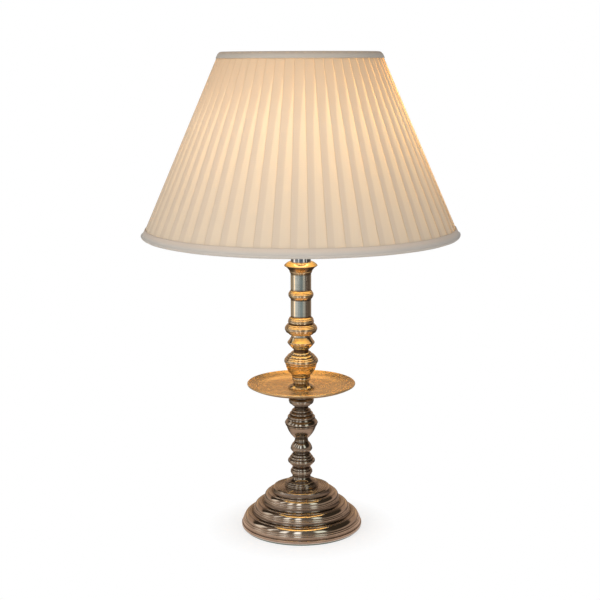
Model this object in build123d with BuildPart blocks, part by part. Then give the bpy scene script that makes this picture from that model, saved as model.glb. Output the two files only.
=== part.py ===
"""Candlestick table lamp with a pleated fabric shade. Millimetres, +Z up.

The origin is the centre of the baize underside, so the lamp stands on z = 0. The cord inlet is at the
back, at +Y. Turned outlines are lists of (radius, rise) or (radius, rise, bulge) steps, read upward.
"""
from build123d import *
from math import atan, cos, degrees, radians, sin
import os

os.makedirs("parts", exist_ok=True)

# Clearances
THREAD_CLEARANCE = 0.2  # screwed tube in the bore of a clamped piece
SEAT_CLEARANCE = 0.1  # pieces that sit inside one another and don't move
MOVING_CLEARANCE = 0.3  # pieces that turn past one another
PIN_CLEARANCE = 0.08  # pivot pin in its hole
CLOTH_CLEARANCE = 0.3  # cloth beside wire or cloth
WELD_GAP = 0.1  # wire end to the wire that it is welded to

# Base: a cast shell in three steps over a baize pad
BAIZE_INSET = 2.6  # insets are in from the rim
BAIZE_T = 1.6
RIM_R = 78.6
RIM_H = 4.2
RIM_ROUND = 1.2
RIM_BULGE = 0.3
STEPS = 3
STEP_FOOT_INSET = [1.8, 15.6, 29.4]  # foot of each convex band, lowest step first
STEP_FOOT_Z = [9.6, 24.0, 37.6]
STEP_LIP_INSET = [9.0, 22.4, 34.6]  # raised lip at the top of each band
STEP_LIP_Z = [19.8, 32.8, 47.0]
BAND_BULGE = 1.3
LIP_H = 1.0
LIP_W = 2.2
LIP_BULGE = 0.2
LIP_HEEL_H = 0.25
SHELF_SAG = 0.3
SHOULDER_INSET = 41.8
SHOULDER_Z = 53.2
SHOULDER_RING = 0.8
BASE_TOP_Z = 54.8
BASE_WALL = 3.0
BASE_TOP_T = 4.2

# Cord inlet at the back of the base
INLET_RISE = 2.9  # above the foot of the lowest band
INLET_INSET = 7.4  # flat that the bush's flange sits on
INLET_BORE_R = 3.6
INLET_BUSH_R = 4.6
INLET_FLANGE_R = 5.9
INLET_FLANGE_T = 2.0
INLET_LENGTH = 9.4
INLET_BOSS_R = 7.4

# Tie tube, nuts and the weight that it pulls up into the base
TUBE_R = 5.0
TUBE_BORE_R = 3.7
TUBE_BELOW_NUT = 2.0
WEIGHT_T = 8.0
WASHER_R = 12.0
WASHER_T = 1.6
NUT_ACROSS_FLATS = 17.0
FOOT_NUT_T = 6.0
LOCK_NUT_T = 4.0

# Lower stem: bell foot, beads, knop and collar
LOWER_FOOT_R = 21.8
LOWER_NECK_R = 8.5
LOWER_TOP_R = 12.6
LOWER_TOP_FLARE_H = 2.4
LOWER_TOP_H = 11.0  # plain length under the pan
BELL_STEPS = [(22.6, 2.4, 0.2), (22.0, 2.2, 0.2), (11.7, 8.0, 0.9), (11.7, 2.0)]
BEAD_STEPS = [(14.1, 4.9, 0.3), (11.2, 5.1, 0.2), (11.2, 2.2), (17.6, 6.9, 0.1), (11.0, 9.5, 0.1)]
CAP_BEAD_STEPS = [(10.8, 2.8), (13.5, 2.8, 0.2), (14.0, 2.4, 0.2), (8.7, 8.6, 0.9), (9.2, 0.6)]
KNOP_BOWL_STEPS = [(LOWER_NECK_R, 1.0), (LOWER_NECK_R, 2.8), (19.6, 17.0, 1.5), (20.5, 1.6, 0.3)]
KNOP_LIP_STEPS = [(20.3, 0.8), (21.4, 1.8, 0.3), (18.6, 4.2, 0.2)]
KNOP_TOP_STEPS = [(17.5, 2.2), (16.8, 2.8, 0.3), (14.8, 1.6), (14.2, 2.6, 0.3), (12.3, 1.4)]
COLLAR_STEPS = [(11.7, 2.4, 0.3), (9.0, 2.6, -0.2), (8.9, 2.4), (15.7, 5.4, 0.3), (16.1, 3.2, 0.4)]

# Drip pan
PAN_FLOOR_R = 58.5
PAN_RIM_R = 69.8
PAN_T = 2.0
PAN_DEPTH = 6.9
PAN_EDGE_T = 2.4
PAN_EDGE_ROUND = 0.9

# Upper stem: foot, waist, vase and bead
UPPER_FOOT_R = 16.6
UPPER_NECK_R = 9.8
UPPER_TOP_R = 12.6
FOOT_STEPS = [(17.4, 1.2, 0.2), (17.0, 1.2, 0.2), (14.6, 1.6), (11.0, 1.2, -0.3), (UPPER_NECK_R, 1.0)]
WAIST_STEPS = [(UPPER_NECK_R, 3.4), (11.8, 1.0, 0.2), (11.8, 3.2, 0.4), (11.4, 0.8)]
VASE_STEPS = [(19.7, 16.0, 2.0), (20.2, 2.0), (21.3, 1.2), (21.6, 2.4, 0.3), (18.2, 4.8, 0.5)]
VASE_NECK_STEPS = [(9.6, 7.2), (9.6, 2.2)]
DIAMOND_STEPS = [(17.1, 8.4, 0.2), (17.1, 2.2, 0.3), (UPPER_TOP_R, 6.8, -0.2), (UPPER_TOP_R, 2.2)]

# Candle socket: rings, two plain barrels and a flared lip
SOCKET_R = 13.2
SOCKET_LIP_R = 20.9
SOCKET_MOUTH_R = 15.0
SOCKET_BARREL_H = 23.0
SOCKET_UPPER_BARREL_H = 20.6
RING_STEPS = [(19.9, 5.6, 0.4), (20.7, 2.6, 0.3), (19.9, 2.4, 0.3), (17.0, 3.4), (15.9, 0.5), (15.9, 0.7)]
SMALL_RING_STEPS = [(16.4, 0.6), (16.2, 2.8, 0.2), (14.2, 4.0, 0.2), (SOCKET_R, 1.0)]
MIDDLE_RING_STEPS = [(15.1, 2.6), (16.0, 2.7, 0.2), (14.9, 3.5, 0.2), (13.4, 2.2), (SOCKET_R, 1.0)]
FLARE_STEPS = [(13.8, 1.4), (14.2, 2.0, 0.2), (14.9, 0.8), (SOCKET_LIP_R, 5.8, -0.6)]
LIP_STEPS = [(SOCKET_LIP_R, 1.2, 0.3)]
MOUTH_H = 4.2
CUP_R = 11.0
CUP_DEPTH = 24.8

# Holder plug: a nickel sleeve that fills the candle cup and carries the lampholder
PLUG_R = 12.7
PLUG_ABOVE = 23.0
PLUG_RECESS_R = 10.4
PLUG_RECESS_DEPTH = 5.0
PLUG_EDGE = 0.6

# Lampholder
HOLDER_R = 19.6
HOLDER_WALL = 1.2
CAP_FOOT_R = 12.2
CAP_FOOT_H = 3.0
CAP_NECK_R = 10.0
CAP_NECK_H = 7.0
CAP_DOME_H = 12.0
CAP_DOME_BULGE = 2.6
CAP_SKIRT_H = 14.0
CAP_LEDGE_W = 1.9
CAP_LEDGE_T = 1.5
CAP_LEDGE_DEPTH = 2.0
TUBE_IN_CAP = 3.0  # tube's reach past the cap's neck floor
SLEEVE_H = 42.0
SLEEVE_LIP_W = 1.6
SLEEVE_THREAD_PITCH = 2.0
SLEEVE_THREAD_DEPTH = 0.35
SLEEVE_THREAD_START = 13.0
SLEEVE_THREADS = 13
CORE_FLOOR_T = 15.6
SHELL_T = 0.7
SHELL_H = 24.5
SHELL_FLANGE_W = 4.0
CONTACT_W = 4.0
CONTACT_L = 15.0
CONTACT_T = 0.6
CONTACT_RISE = 2.4

# Push-bar switch through the cap's skirt
BAR_R = 2.4
BAR_TRAVEL = 6.0
BAR_TIP_R = 3.6
BAR_TIP_L = 4.0
BAR_TIP_GAP = 1.9  # tip to the skirt at the end of the travel
BAR_BELOW_CORE = 8.0
SLIDER_L = 9.0
SLIDER_W = 10.0
SLIDER_H = 8.4
SLIDER_PLATE_T = 0.8
TERMINAL_OFFSET = 10.4
TERMINAL_SIDE = 6.0
TERMINAL_H = 7.4
TERMINAL_SCREW_R = 1.6
TERMINAL_SCREW_L = 3.2

# Bulb
BULB_CAP_R = 13.1
BULB_THREAD_PITCH = 3.6
BULB_THREADS = 5
BULB_THREAD_DEPTH = 0.8
BULB_CAP_WALL = 0.5
BULB_COLLAR_H = 4.0
BULB_TIP_R = 4.8
BULB_TIP_H = 1.2
BULB_INSULATOR_H = 3.4
BULB_INSULATOR_R = 10.4
BULB_R = 30.0
BULB_GLASS_H = 84.0  # glass above the cap
BULB_GLASS_T = 0.8
BULB_NECK_R = 12.4
BULB_NECK_H = 8.0
BULB_WAIST_BULGE = -2.4
BULB_JOIN_DEG = 30.0  # how far below the ball's middle the neck meets it

# Gimbal under the shade
SHADE_RING_R = 26.5
SHADE_RING_T = 3.6
SHADE_RING_Z = 26.4  # above the sleeve's lower end
GIMBAL_RING_R = 24.5
GIMBAL_RING_T = 3.2
HOOP_INNER_R = 30.0
HOOP_T = 3.0
HOOP_H = 7.0
PIN_R = 1.3
PIN_DEPTH = 3.0
PIN_HEAD_R = 2.4
PIN_HEAD_T = 1.2

# Shade
SHADE_TOP_R = 100.0
SHADE_BOTTOM_R = 200.0
SHADE_H = 229.0
SHADE_BELOW_PIVOT = 57.9
STRUTS = 6
FIRST_STRUT_DEG = -102.0
ARMS = 3
WIRE_R = 1.5
RING_WIRE_R = 2.0
ARM_RISE = 78.0
PLEATS = 58
PLEAT_DEPTH = 1.2  # at the lower edge; it shrinks with the radius above
PLEAT_EDGE = 0.06  # share of a pleat taken by its folded edge
COVER_T = 1.0
LINING_T = 0.8
TRIM_PROUD = 1.8
TRIM_T = 1.2
TOP_TRIM_PROUD = 0.9
TOP_TRIM_T = 0.7
BOTTOM_TRIM_H = 13.0
TOP_TRIM_H = 8.4
TRIM_INNER_H = 9.0

# Heights and radii that follow from the sizes above
TUBE_HOLE_R = TUBE_R + THREAD_CLEARANCE
BAIZE_R = RIM_R - BAIZE_INSET
STEP_FOOT_R = [RIM_R - inset for inset in STEP_FOOT_INSET]
STEP_LIP_R = [RIM_R - inset for inset in STEP_LIP_INSET]
SHOULDER_R = RIM_R - SHOULDER_INSET
INLET_Z = STEP_FOOT_Z[0] + INLET_RISE
INLET_FACE_Y = RIM_R - INLET_INSET


def rise_of(steps):
    """Total height of a list of outline steps."""
    return sum(step[1] for step in steps)


LOWER_STEPS = (
    BELL_STEPS
    + BEAD_STEPS
    + CAP_BEAD_STEPS
    + KNOP_BOWL_STEPS
    + KNOP_LIP_STEPS
    + KNOP_TOP_STEPS
    + COLLAR_STEPS
    + [(LOWER_TOP_R, LOWER_TOP_FLARE_H), (LOWER_TOP_R, LOWER_TOP_H)]
)
UPPER_STEPS = FOOT_STEPS + WAIST_STEPS + VASE_STEPS + VASE_NECK_STEPS + DIAMOND_STEPS
SOCKET_STEPS = (
    RING_STEPS
    + SMALL_RING_STEPS
    + [(SOCKET_R, SOCKET_BARREL_H)]
    + MIDDLE_RING_STEPS
    + [(SOCKET_R, SOCKET_UPPER_BARREL_H)]
    + FLARE_STEPS
    + LIP_STEPS
    + [(SOCKET_MOUTH_R, MOUTH_H)]
)
PAN_UNDER_Z = BASE_TOP_Z + rise_of(LOWER_STEPS)
PAN_FLOOR_Z = PAN_UNDER_Z + PAN_T
SOCKET_Z = PAN_FLOOR_Z + rise_of(UPPER_STEPS)
MOUTH_Z = SOCKET_Z + rise_of(SOCKET_STEPS)
CUP_FLOOR_Z = MOUTH_Z - CUP_DEPTH
PLUG_TOP_Z = MOUTH_Z + PLUG_ABOVE
WEIGHT_TOP_Z = STEP_LIP_Z[1] - BASE_WALL
WEIGHT_R = STEP_LIP_R[1] - BASE_WALL - THREAD_CLEARANCE
WASHER_Z = WEIGHT_TOP_Z - WEIGHT_T - WASHER_T
FOOT_NUT_Z = WASHER_Z - FOOT_NUT_T
TUBE_BOTTOM_Z = FOOT_NUT_Z - TUBE_BELOW_NUT
CAP_NECK_TOP_Z = PLUG_TOP_Z + CAP_FOOT_H + CAP_NECK_H
TUBE_TOP_Z = CAP_NECK_TOP_Z + TUBE_IN_CAP
CAP_TOP_Z = CAP_NECK_TOP_Z + CAP_DOME_H + CAP_SKIRT_H
SLEEVE_TOP_Z = CAP_TOP_Z + SLEEVE_H
HOLDER_BORE_R = HOLDER_R - HOLDER_WALL
CORE_R = HOLDER_BORE_R - SEAT_CLEARANCE
CORE_BOTTOM_Z = CAP_TOP_Z - CAP_LEDGE_DEPTH
CORE_FLOOR_Z = CORE_BOTTOM_Z + CORE_FLOOR_T
CORE_TOP_Z = SLEEVE_TOP_Z - HOLDER_WALL - SEAT_CLEARANCE
SHELL_INNER_R = BULB_CAP_R + MOVING_CLEARANCE
SHELL_R = SHELL_INNER_R + SHELL_T
WELL_R = SHELL_R + SEAT_CLEARANCE
BAR_Z = CORE_BOTTOM_Z - BAR_BELOW_CORE
BAR_REST_X = -BAR_TRAVEL / 2
BAR_HALF = HOLDER_R + BAR_TIP_GAP + BAR_TRAVEL / 2
BULB_TIP_Z = CORE_FLOOR_Z + CONTACT_RISE + CONTACT_T + MOVING_CLEARANCE
BULB_CAP_Z = BULB_TIP_Z + BULB_TIP_H + BULB_INSULATOR_H
BULB_CAP_TOP_Z = BULB_CAP_Z + BULB_THREADS * BULB_THREAD_PITCH + BULB_COLLAR_H
LOWER_RING_Z = CAP_TOP_Z + SHADE_RING_Z
GIMBAL_Z = LOWER_RING_Z + SHADE_RING_T + MOVING_CLEARANCE
PIVOT_Z = GIMBAL_Z + GIMBAL_RING_T / 2
UPPER_RING_Z = GIMBAL_Z + GIMBAL_RING_T + MOVING_CLEARANCE
HOOP_R = HOOP_INNER_R + HOOP_T
SHADE_BOTTOM_Z = PIVOT_Z - SHADE_BELOW_PIVOT
SHADE_TOP_Z = SHADE_BOTTOM_Z + SHADE_H
SHADE_SLOPE = (SHADE_BOTTOM_R - SHADE_TOP_R) / SHADE_H
SLANT_COS = cos(atan(SHADE_SLOPE))
COVER_DEPTH = COVER_T + PLEAT_DEPTH
STRUT_INSET = COVER_DEPTH + (CLOTH_CLEARANCE + WIRE_R) / SLANT_COS
RING_INSET = COVER_DEPTH + (CLOTH_CLEARANCE + RING_WIRE_R) / SLANT_COS
LINING_INSET = STRUT_INSET + (WIRE_R + CLOTH_CLEARANCE) / SLANT_COS
COVER_BOTTOM_Z = SHADE_BOTTOM_Z + TRIM_T + CLOTH_CLEARANCE
COVER_TOP_Z = SHADE_TOP_Z - TOP_TRIM_T - CLOTH_CLEARANCE
BOTTOM_RING_Z = COVER_BOTTOM_Z + RING_WIRE_R
TOP_RING_Z = COVER_TOP_Z - RING_WIRE_R
LINING_BOTTOM_Z = BOTTOM_RING_Z + RING_WIRE_R + CLOTH_CLEARANCE
LINING_TOP_Z = TOP_RING_Z - RING_WIRE_R - CLOTH_CLEARANCE


def shade_r(z):
    """Radius of the shade's outer cone at height z."""
    return SHADE_BOTTOM_R - SHADE_SLOPE * (z - SHADE_BOTTOM_Z)


def trace(start, steps):
    """Draw outline steps upward from start in the open BuildLine, and return the last point."""
    point = start
    for step in steps:
        end = (step[0], point[1] + step[1])
        if len(step) == 3:
            SagittaArc(point, end, -step[2])
        else:
            Line(point, end)
        point = end
    return point


def turn_piece(foot, steps, bore_r):
    """Revolve a stacked outline that stands on foot = (radius, height), with a bore along its axis."""
    with BuildSketch(Plane.XZ) as section:
        with BuildLine():
            top = trace(foot, steps)
            Polyline(top, (bore_r, top[1]), (bore_r, foot[1]), foot)
        make_face()
    revolve(section.sketch, axis=Axis.Z)


def turn_polygon(points, mode=Mode.ADD):
    """Revolve a straight-sided section given as (radius, height) points."""
    with BuildSketch(Plane.XZ) as section:
        with BuildLine():
            Polyline(*points, close=True)
        make_face()
    revolve(section.sketch, axis=Axis.Z, mode=mode)


def ring_solid(inner_r, outer_r, low_z, high_z, mode=Mode.ADD):
    """A plain ring, or a disc where inner_r is 0."""
    with BuildSketch(Plane.XY.offset(low_z)) as section:
        Circle(outer_r)
        if inner_r > 0:
            Circle(inner_r, mode=Mode.SUBTRACT)
    extrude(section.sketch, amount=high_z - low_z, mode=mode)


def cone_wall(inset, thickness, low_z, high_z):
    """A straight wall parallel to the shade's cone, its outer face inset by a horizontal distance."""
    low_r = shade_r(low_z) - inset
    high_r = shade_r(high_z) - inset
    turn_polygon(
        [(low_r, low_z), (high_r, high_z), (high_r - thickness, high_z), (low_r - thickness, low_z)]
    )


def save(part, label):
    """Label a finished part and write its STEP file."""
    part.label = label
    export_step(part, f"parts/{label}.step")


def polar_point(radius, angle_deg, z):
    return Vector(radius * cos(radians(angle_deg)), radius * sin(radians(angle_deg)), z)


def wire_between(start, end, wire_r, mode=Mode.ADD):
    """A straight round wire."""
    with BuildSketch(Plane(origin=start, z_dir=end - start)) as section:
        Circle(wire_r)
    extrude(section.sketch, amount=(end - start).length, mode=mode)


# ---- Base ----

with BuildPart() as base_baize:
    ring_solid(0, BAIZE_R, 0, BAIZE_T)
save(base_baize.part, "base_baize")

with BuildPart() as base_hollow:
    hollow_points = [(0, 0), (RIM_R - BASE_WALL - RIM_ROUND, 0)]
    hollow_points.append((RIM_R - BASE_WALL - RIM_ROUND, BAIZE_T + RIM_H))
    for foot_r, foot_z, lip_r, lip_z in zip(STEP_FOOT_R, STEP_FOOT_Z, STEP_LIP_R, STEP_LIP_Z):
        hollow_points.append((foot_r - BASE_WALL, foot_z - BASE_WALL))
        hollow_points.append((lip_r - BASE_WALL, lip_z - BASE_WALL))
    hollow_points.append((SHOULDER_R - BASE_WALL, BASE_TOP_Z - BASE_TOP_T))
    hollow_points.append((0, BASE_TOP_Z - BASE_TOP_T))
    turn_polygon(hollow_points)
    with BuildSketch(Plane.XZ.offset(-(INLET_FACE_Y - INLET_LENGTH))):
        with Locations((0, INLET_Z)):
            Circle(INLET_BOSS_R)
    extrude(amount=-(RIM_R - INLET_FACE_Y + INLET_LENGTH), mode=Mode.SUBTRACT)

with BuildPart() as base_foot:
    with BuildSketch(Plane.XZ):
        with BuildLine():
            rim_low = (RIM_R - RIM_ROUND, BAIZE_T)
            rim_top = trace(rim_low, [(RIM_R, RIM_ROUND, RIM_BULGE), (RIM_R, RIM_H - RIM_ROUND)])
            point = trace(rim_top, [(RIM_R - RIM_ROUND, RIM_ROUND)])
            Line(point, (STEP_FOOT_R[0], STEP_FOOT_Z[0]))
            for step in range(STEPS):
                lip = trace(
                    (STEP_FOOT_R[step], STEP_FOOT_Z[step]),
                    [(STEP_LIP_R[step], STEP_LIP_Z[step] - STEP_FOOT_Z[step], BAND_BULGE)],
                )
                crest = trace(lip, [(STEP_LIP_R[step] - LIP_W / 2, LIP_H, LIP_BULGE)])
                heel = trace(crest, [(STEP_LIP_R[step] - LIP_W, -LIP_HEEL_H)])
                if step < STEPS - 1:
                    trace(heel, [(STEP_FOOT_R[step + 1], STEP_FOOT_Z[step + 1] - heel[1], -SHELF_SAG)])
            shoulder = trace(heel, [(SHOULDER_R, SHOULDER_Z - heel[1], -SHELF_SAG)])
            inner = trace(shoulder, [(SHOULDER_R - SHOULDER_RING, SHOULDER_RING)])
            Line(inner, (LOWER_FOOT_R, BASE_TOP_Z))
            Line((LOWER_FOOT_R, BASE_TOP_Z), (TUBE_HOLE_R, BASE_TOP_Z))
            Line((TUBE_HOLE_R, BASE_TOP_Z), (TUBE_HOLE_R, BAIZE_T))
            Line((TUBE_HOLE_R, BAIZE_T), rim_low)
        make_face()
    revolve(axis=Axis.Z)
    add(base_hollow.part, mode=Mode.SUBTRACT)
    with BuildSketch(Plane.XZ.offset(-INLET_FACE_Y)):
        with Locations((0, INLET_Z)):
            Circle(INLET_FLANGE_R + THREAD_CLEARANCE)
    extrude(amount=-(RIM_R - INLET_FACE_Y), mode=Mode.SUBTRACT)
    with BuildSketch(Plane.XZ.offset(-(INLET_FACE_Y - INLET_LENGTH - BASE_WALL))):
        with Locations((0, INLET_Z)):
            Circle(INLET_BUSH_R + SEAT_CLEARANCE)
    extrude(amount=-(INLET_LENGTH + BASE_WALL), mode=Mode.SUBTRACT)
save(base_foot.part, "base_foot")

with BuildPart() as cord_bush:
    with BuildSketch(Plane.XZ.offset(-(INLET_FACE_Y - INLET_LENGTH))):
        with Locations((0, INLET_Z)):
            Circle(INLET_BUSH_R)
    extrude(amount=-INLET_LENGTH)
    with BuildSketch(Plane.XZ.offset(-INLET_FACE_Y)):
        with Locations((0, INLET_Z)):
            Circle(INLET_FLANGE_R)
    extrude(amount=-INLET_FLANGE_T)
    outer_edges = cord_bush.edges().filter_by(GeomType.CIRCLE).sort_by(Axis.Y)[-1:]
    fillet(outer_edges, radius=INLET_FLANGE_T / 3)
    with BuildSketch(Plane.XZ.offset(-(INLET_FACE_Y - INLET_LENGTH))):
        with Locations((0, INLET_Z)):
            Circle(INLET_BORE_R)
    extrude(amount=-(INLET_LENGTH + INLET_FLANGE_T), mode=Mode.SUBTRACT)
save(cord_bush.part, "cord_bush")

with BuildPart() as base_weight:
    ring_solid(TUBE_HOLE_R, WEIGHT_R, WEIGHT_TOP_Z - WEIGHT_T, WEIGHT_TOP_Z)
save(base_weight.part, "base_weight")

with BuildPart() as foot_washer:
    ring_solid(TUBE_HOLE_R, WASHER_R, WASHER_Z, WASHER_Z + WASHER_T)
save(foot_washer.part, "foot_washer")


def hex_nut(low_z, thickness):
    """A hexagon nut on the tie tube."""
    with BuildSketch(Plane.XY.offset(low_z)) as section:
        RegularPolygon(NUT_ACROSS_FLATS / 2, 6, major_radius=False)
        Circle(TUBE_R + SEAT_CLEARANCE, mode=Mode.SUBTRACT)
    extrude(section.sketch, amount=thickness)


with BuildPart() as foot_nut:
    hex_nut(FOOT_NUT_Z, FOOT_NUT_T)
save(foot_nut.part, "foot_nut")

with BuildPart() as tie_tube:
    ring_solid(TUBE_BORE_R, TUBE_R, TUBE_BOTTOM_Z, TUBE_TOP_Z)
save(tie_tube.part, "tie_tube")

# ---- Turned candlestick ----

with BuildPart() as lower_stem:
    turn_piece((LOWER_FOOT_R, BASE_TOP_Z), LOWER_STEPS, TUBE_HOLE_R)
save(lower_stem.part, "lower_stem")

with BuildPart() as drip_pan:
    rim_top_z = PAN_FLOOR_Z + PAN_DEPTH
    turn_polygon(
        [
            (TUBE_HOLE_R, PAN_UNDER_Z),
            (PAN_FLOOR_R, PAN_UNDER_Z),
            (PAN_RIM_R, rim_top_z - PAN_EDGE_T),
            (PAN_RIM_R, rim_top_z),
            (PAN_RIM_R - PAN_EDGE_T, rim_top_z),
            (PAN_FLOOR_R, PAN_FLOOR_Z),
            (TUBE_HOLE_R, PAN_FLOOR_Z),
        ]
    )
    rim_edges = drip_pan.edges().filter_by(GeomType.CIRCLE).group_by(Axis.Z)[-1]
    fillet(rim_edges, radius=PAN_EDGE_ROUND)
save(drip_pan.part, "drip_pan")

with BuildPart() as upper_stem:
    turn_piece((UPPER_FOOT_R, PAN_FLOOR_Z), UPPER_STEPS, TUBE_HOLE_R)
save(upper_stem.part, "upper_stem")

with BuildPart() as candle_socket:
    turn_piece((UPPER_TOP_R, SOCKET_Z), SOCKET_STEPS, TUBE_HOLE_R)
    ring_solid(0, CUP_R, CUP_FLOOR_Z, MOUTH_Z, mode=Mode.SUBTRACT)
save(candle_socket.part, "candle_socket")

# ---- Holder plug and lock nut ----

with BuildPart() as holder_plug:
    ring_solid(TUBE_HOLE_R, CUP_R - SEAT_CLEARANCE, CUP_FLOOR_Z, MOUTH_Z)
    ring_solid(TUBE_HOLE_R, PLUG_R, MOUTH_Z, PLUG_TOP_Z)
    top_edges = holder_plug.edges().filter_by(GeomType.CIRCLE).group_by(Axis.Z)[-1]
    chamfer(top_edges.sort_by(SortBy.RADIUS)[-1:], PLUG_EDGE)
    ring_solid(0, PLUG_RECESS_R, PLUG_TOP_Z - PLUG_RECESS_DEPTH, PLUG_TOP_Z, mode=Mode.SUBTRACT)
save(holder_plug.part, "holder_plug")

with BuildPart() as lock_nut:
    hex_nut(PLUG_TOP_Z - PLUG_RECESS_DEPTH, LOCK_NUT_T)
save(lock_nut.part, "lock_nut")

# ---- Lampholder ----

with BuildPart() as holder_cap:
    skirt_z = CAP_NECK_TOP_Z + CAP_DOME_H
    inner_neck_z = CAP_NECK_TOP_Z + HOLDER_WALL
    with BuildSketch(Plane.XZ):
        with BuildLine():
            Polyline(
                (CAP_FOOT_R, PLUG_TOP_Z),
                (CAP_FOOT_R, PLUG_TOP_Z + CAP_FOOT_H),
                (CAP_NECK_R, PLUG_TOP_Z + CAP_FOOT_H),
                (CAP_NECK_R, CAP_NECK_TOP_Z),
            )
            trace((CAP_NECK_R, CAP_NECK_TOP_Z), [(HOLDER_R, CAP_DOME_H, CAP_DOME_BULGE)])
            Polyline(
                (HOLDER_R, skirt_z),
                (HOLDER_R, CAP_TOP_Z),
                (HOLDER_BORE_R, CAP_TOP_Z),
                (HOLDER_BORE_R, CORE_BOTTOM_Z),
                (HOLDER_BORE_R - CAP_LEDGE_W, CORE_BOTTOM_Z),
                (HOLDER_BORE_R - CAP_LEDGE_W, CORE_BOTTOM_Z - CAP_LEDGE_T),
                (HOLDER_BORE_R, CORE_BOTTOM_Z - CAP_LEDGE_T),
                (HOLDER_BORE_R, skirt_z),
            )
            SagittaArc((HOLDER_BORE_R, skirt_z), (CAP_NECK_R, inner_neck_z), CAP_DOME_BULGE)
            Polyline(
                (CAP_NECK_R, inner_neck_z),
                (TUBE_HOLE_R, inner_neck_z),
                (TUBE_HOLE_R, PLUG_TOP_Z),
                (CAP_FOOT_R, PLUG_TOP_Z),
            )
        make_face()
    revolve(axis=Axis.Z)
    with BuildSketch(Plane.YZ):
        with Locations((0, BAR_Z)):
            Circle(BAR_R + MOVING_CLEARANCE)
    extrude(amount=HOLDER_R * 2, both=True, mode=Mode.SUBTRACT)
save(holder_cap.part, "holder_cap")

with BuildPart() as holder_core:
    ring_solid(0, CORE_R, CORE_BOTTOM_Z, CORE_TOP_Z)
    ring_solid(0, WELL_R, CORE_FLOOR_Z, CORE_TOP_Z, mode=Mode.SUBTRACT)
save(holder_core.part, "holder_core")

with BuildPart() as holder_sleeve:
    ring_solid(HOLDER_BORE_R, HOLDER_R, CAP_TOP_Z, SLEEVE_TOP_Z)
    ring_solid(HOLDER_BORE_R - SLEEVE_LIP_W, HOLDER_BORE_R, SLEEVE_TOP_Z - HOLDER_WALL, SLEEVE_TOP_Z)
    for groove in range(SLEEVE_THREADS):
        groove_z = CAP_TOP_Z + SLEEVE_THREAD_START + groove * SLEEVE_THREAD_PITCH
        turn_polygon(
            [
                (HOLDER_R, groove_z - SLEEVE_THREAD_PITCH / 4),
                (HOLDER_R - SLEEVE_THREAD_DEPTH, groove_z),
                (HOLDER_R, groove_z + SLEEVE_THREAD_PITCH / 4),
            ],
            mode=Mode.SUBTRACT,
        )
save(holder_sleeve.part, "holder_sleeve")

with BuildPart() as thread_shell:
    ring_solid(SHELL_INNER_R, SHELL_R, CORE_FLOOR_Z, CORE_FLOOR_Z + SHELL_H)
    ring_solid(SHELL_INNER_R - SHELL_FLANGE_W, SHELL_INNER_R, CORE_FLOOR_Z, CORE_FLOOR_Z + SHELL_T)
save(thread_shell.part, "thread_shell")

with BuildPart() as centre_contact:
    with BuildSketch(Plane.XZ):
        with BuildLine():
            half = CONTACT_L / 2
            seat_z = CORE_FLOOR_Z
            foot_l = CONTACT_L / 4
            Polyline(
                (-half, seat_z),
                (-half + foot_l, seat_z),
                (half - foot_l, seat_z + CONTACT_RISE),
                (half, seat_z + CONTACT_RISE),
                (half, seat_z + CONTACT_RISE + CONTACT_T),
                (half - foot_l - CONTACT_T, seat_z + CONTACT_RISE + CONTACT_T),
                (-half + foot_l - CONTACT_T, seat_z + CONTACT_T),
                (-half, seat_z + CONTACT_T),
                close=True,
            )
        make_face()
    extrude(amount=CONTACT_W / 2, both=True)
save(centre_contact.part, "centre_contact")

with BuildPart() as terminals:
    for side in (-1, 1):
        with BuildSketch(Plane.XY.offset(CORE_BOTTOM_Z)):
            with Locations((0, side * TERMINAL_OFFSET)):
                Rectangle(TERMINAL_SIDE, TERMINAL_SIDE)
        extrude(amount=-TERMINAL_H)
save(terminals.part, "terminals")

with BuildPart() as terminal_screws:
    for side in (-1, 1):
        face_y = side * (TERMINAL_OFFSET + TERMINAL_SIDE / 2)
        with BuildSketch(Plane.XZ.offset(-face_y)):
            with Locations((0, CORE_BOTTOM_Z - TERMINAL_H / 2)):
                Circle(TERMINAL_SCREW_R)
        extrude(amount=-side * TERMINAL_SCREW_L)
save(terminal_screws.part, "terminal_screws")

# ---- Push-bar switch ----

with BuildPart() as switch_bar:
    with BuildSketch(Plane.YZ.offset(BAR_REST_X)):
        with Locations((0, BAR_Z)):
            Circle(BAR_R)
    extrude(amount=BAR_HALF, both=True)
save(switch_bar.part, "switch_bar")

with BuildPart() as switch_tips:
    for side in (-1, 1):
        with BuildSketch(Plane.YZ.offset(BAR_REST_X + side * BAR_HALF)):
            with Locations((0, BAR_Z)):
                Circle(BAR_TIP_R)
        extrude(amount=side * BAR_TIP_L)
    tip_ends = switch_tips.edges().filter_by(GeomType.CIRCLE).sort_by(Axis.X)
    fillet(tip_ends[:1] + tip_ends[-1:], radius=BAR_TIP_R / 2)
save(switch_tips.part, "switch_tips")

with BuildPart() as switch_slider:
    with BuildSketch(Plane.YZ.offset(BAR_REST_X)):
        with Locations((0, BAR_Z)):
            Rectangle(SLIDER_W, SLIDER_H)
            Circle(BAR_R + SEAT_CLEARANCE, mode=Mode.SUBTRACT)
    extrude(amount=SLIDER_L / 2, both=True)
save(switch_slider.part, "switch_slider")

with BuildPart() as switch_plate:
    plate_z = BAR_Z + SLIDER_H / 2
    with BuildSketch(Plane.XY.offset(plate_z)):
        with Locations((BAR_REST_X, 0)):
            Rectangle(SLIDER_L, SLIDER_W / 2)
    extrude(amount=SLIDER_PLATE_T)
save(switch_plate.part, "switch_plate")

# ---- Bulb ----

with BuildPart() as bulb_tip:
    ring_solid(0, BULB_TIP_R, BULB_TIP_Z, BULB_TIP_Z + BULB_TIP_H)
save(bulb_tip.part, "bulb_tip")

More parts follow.
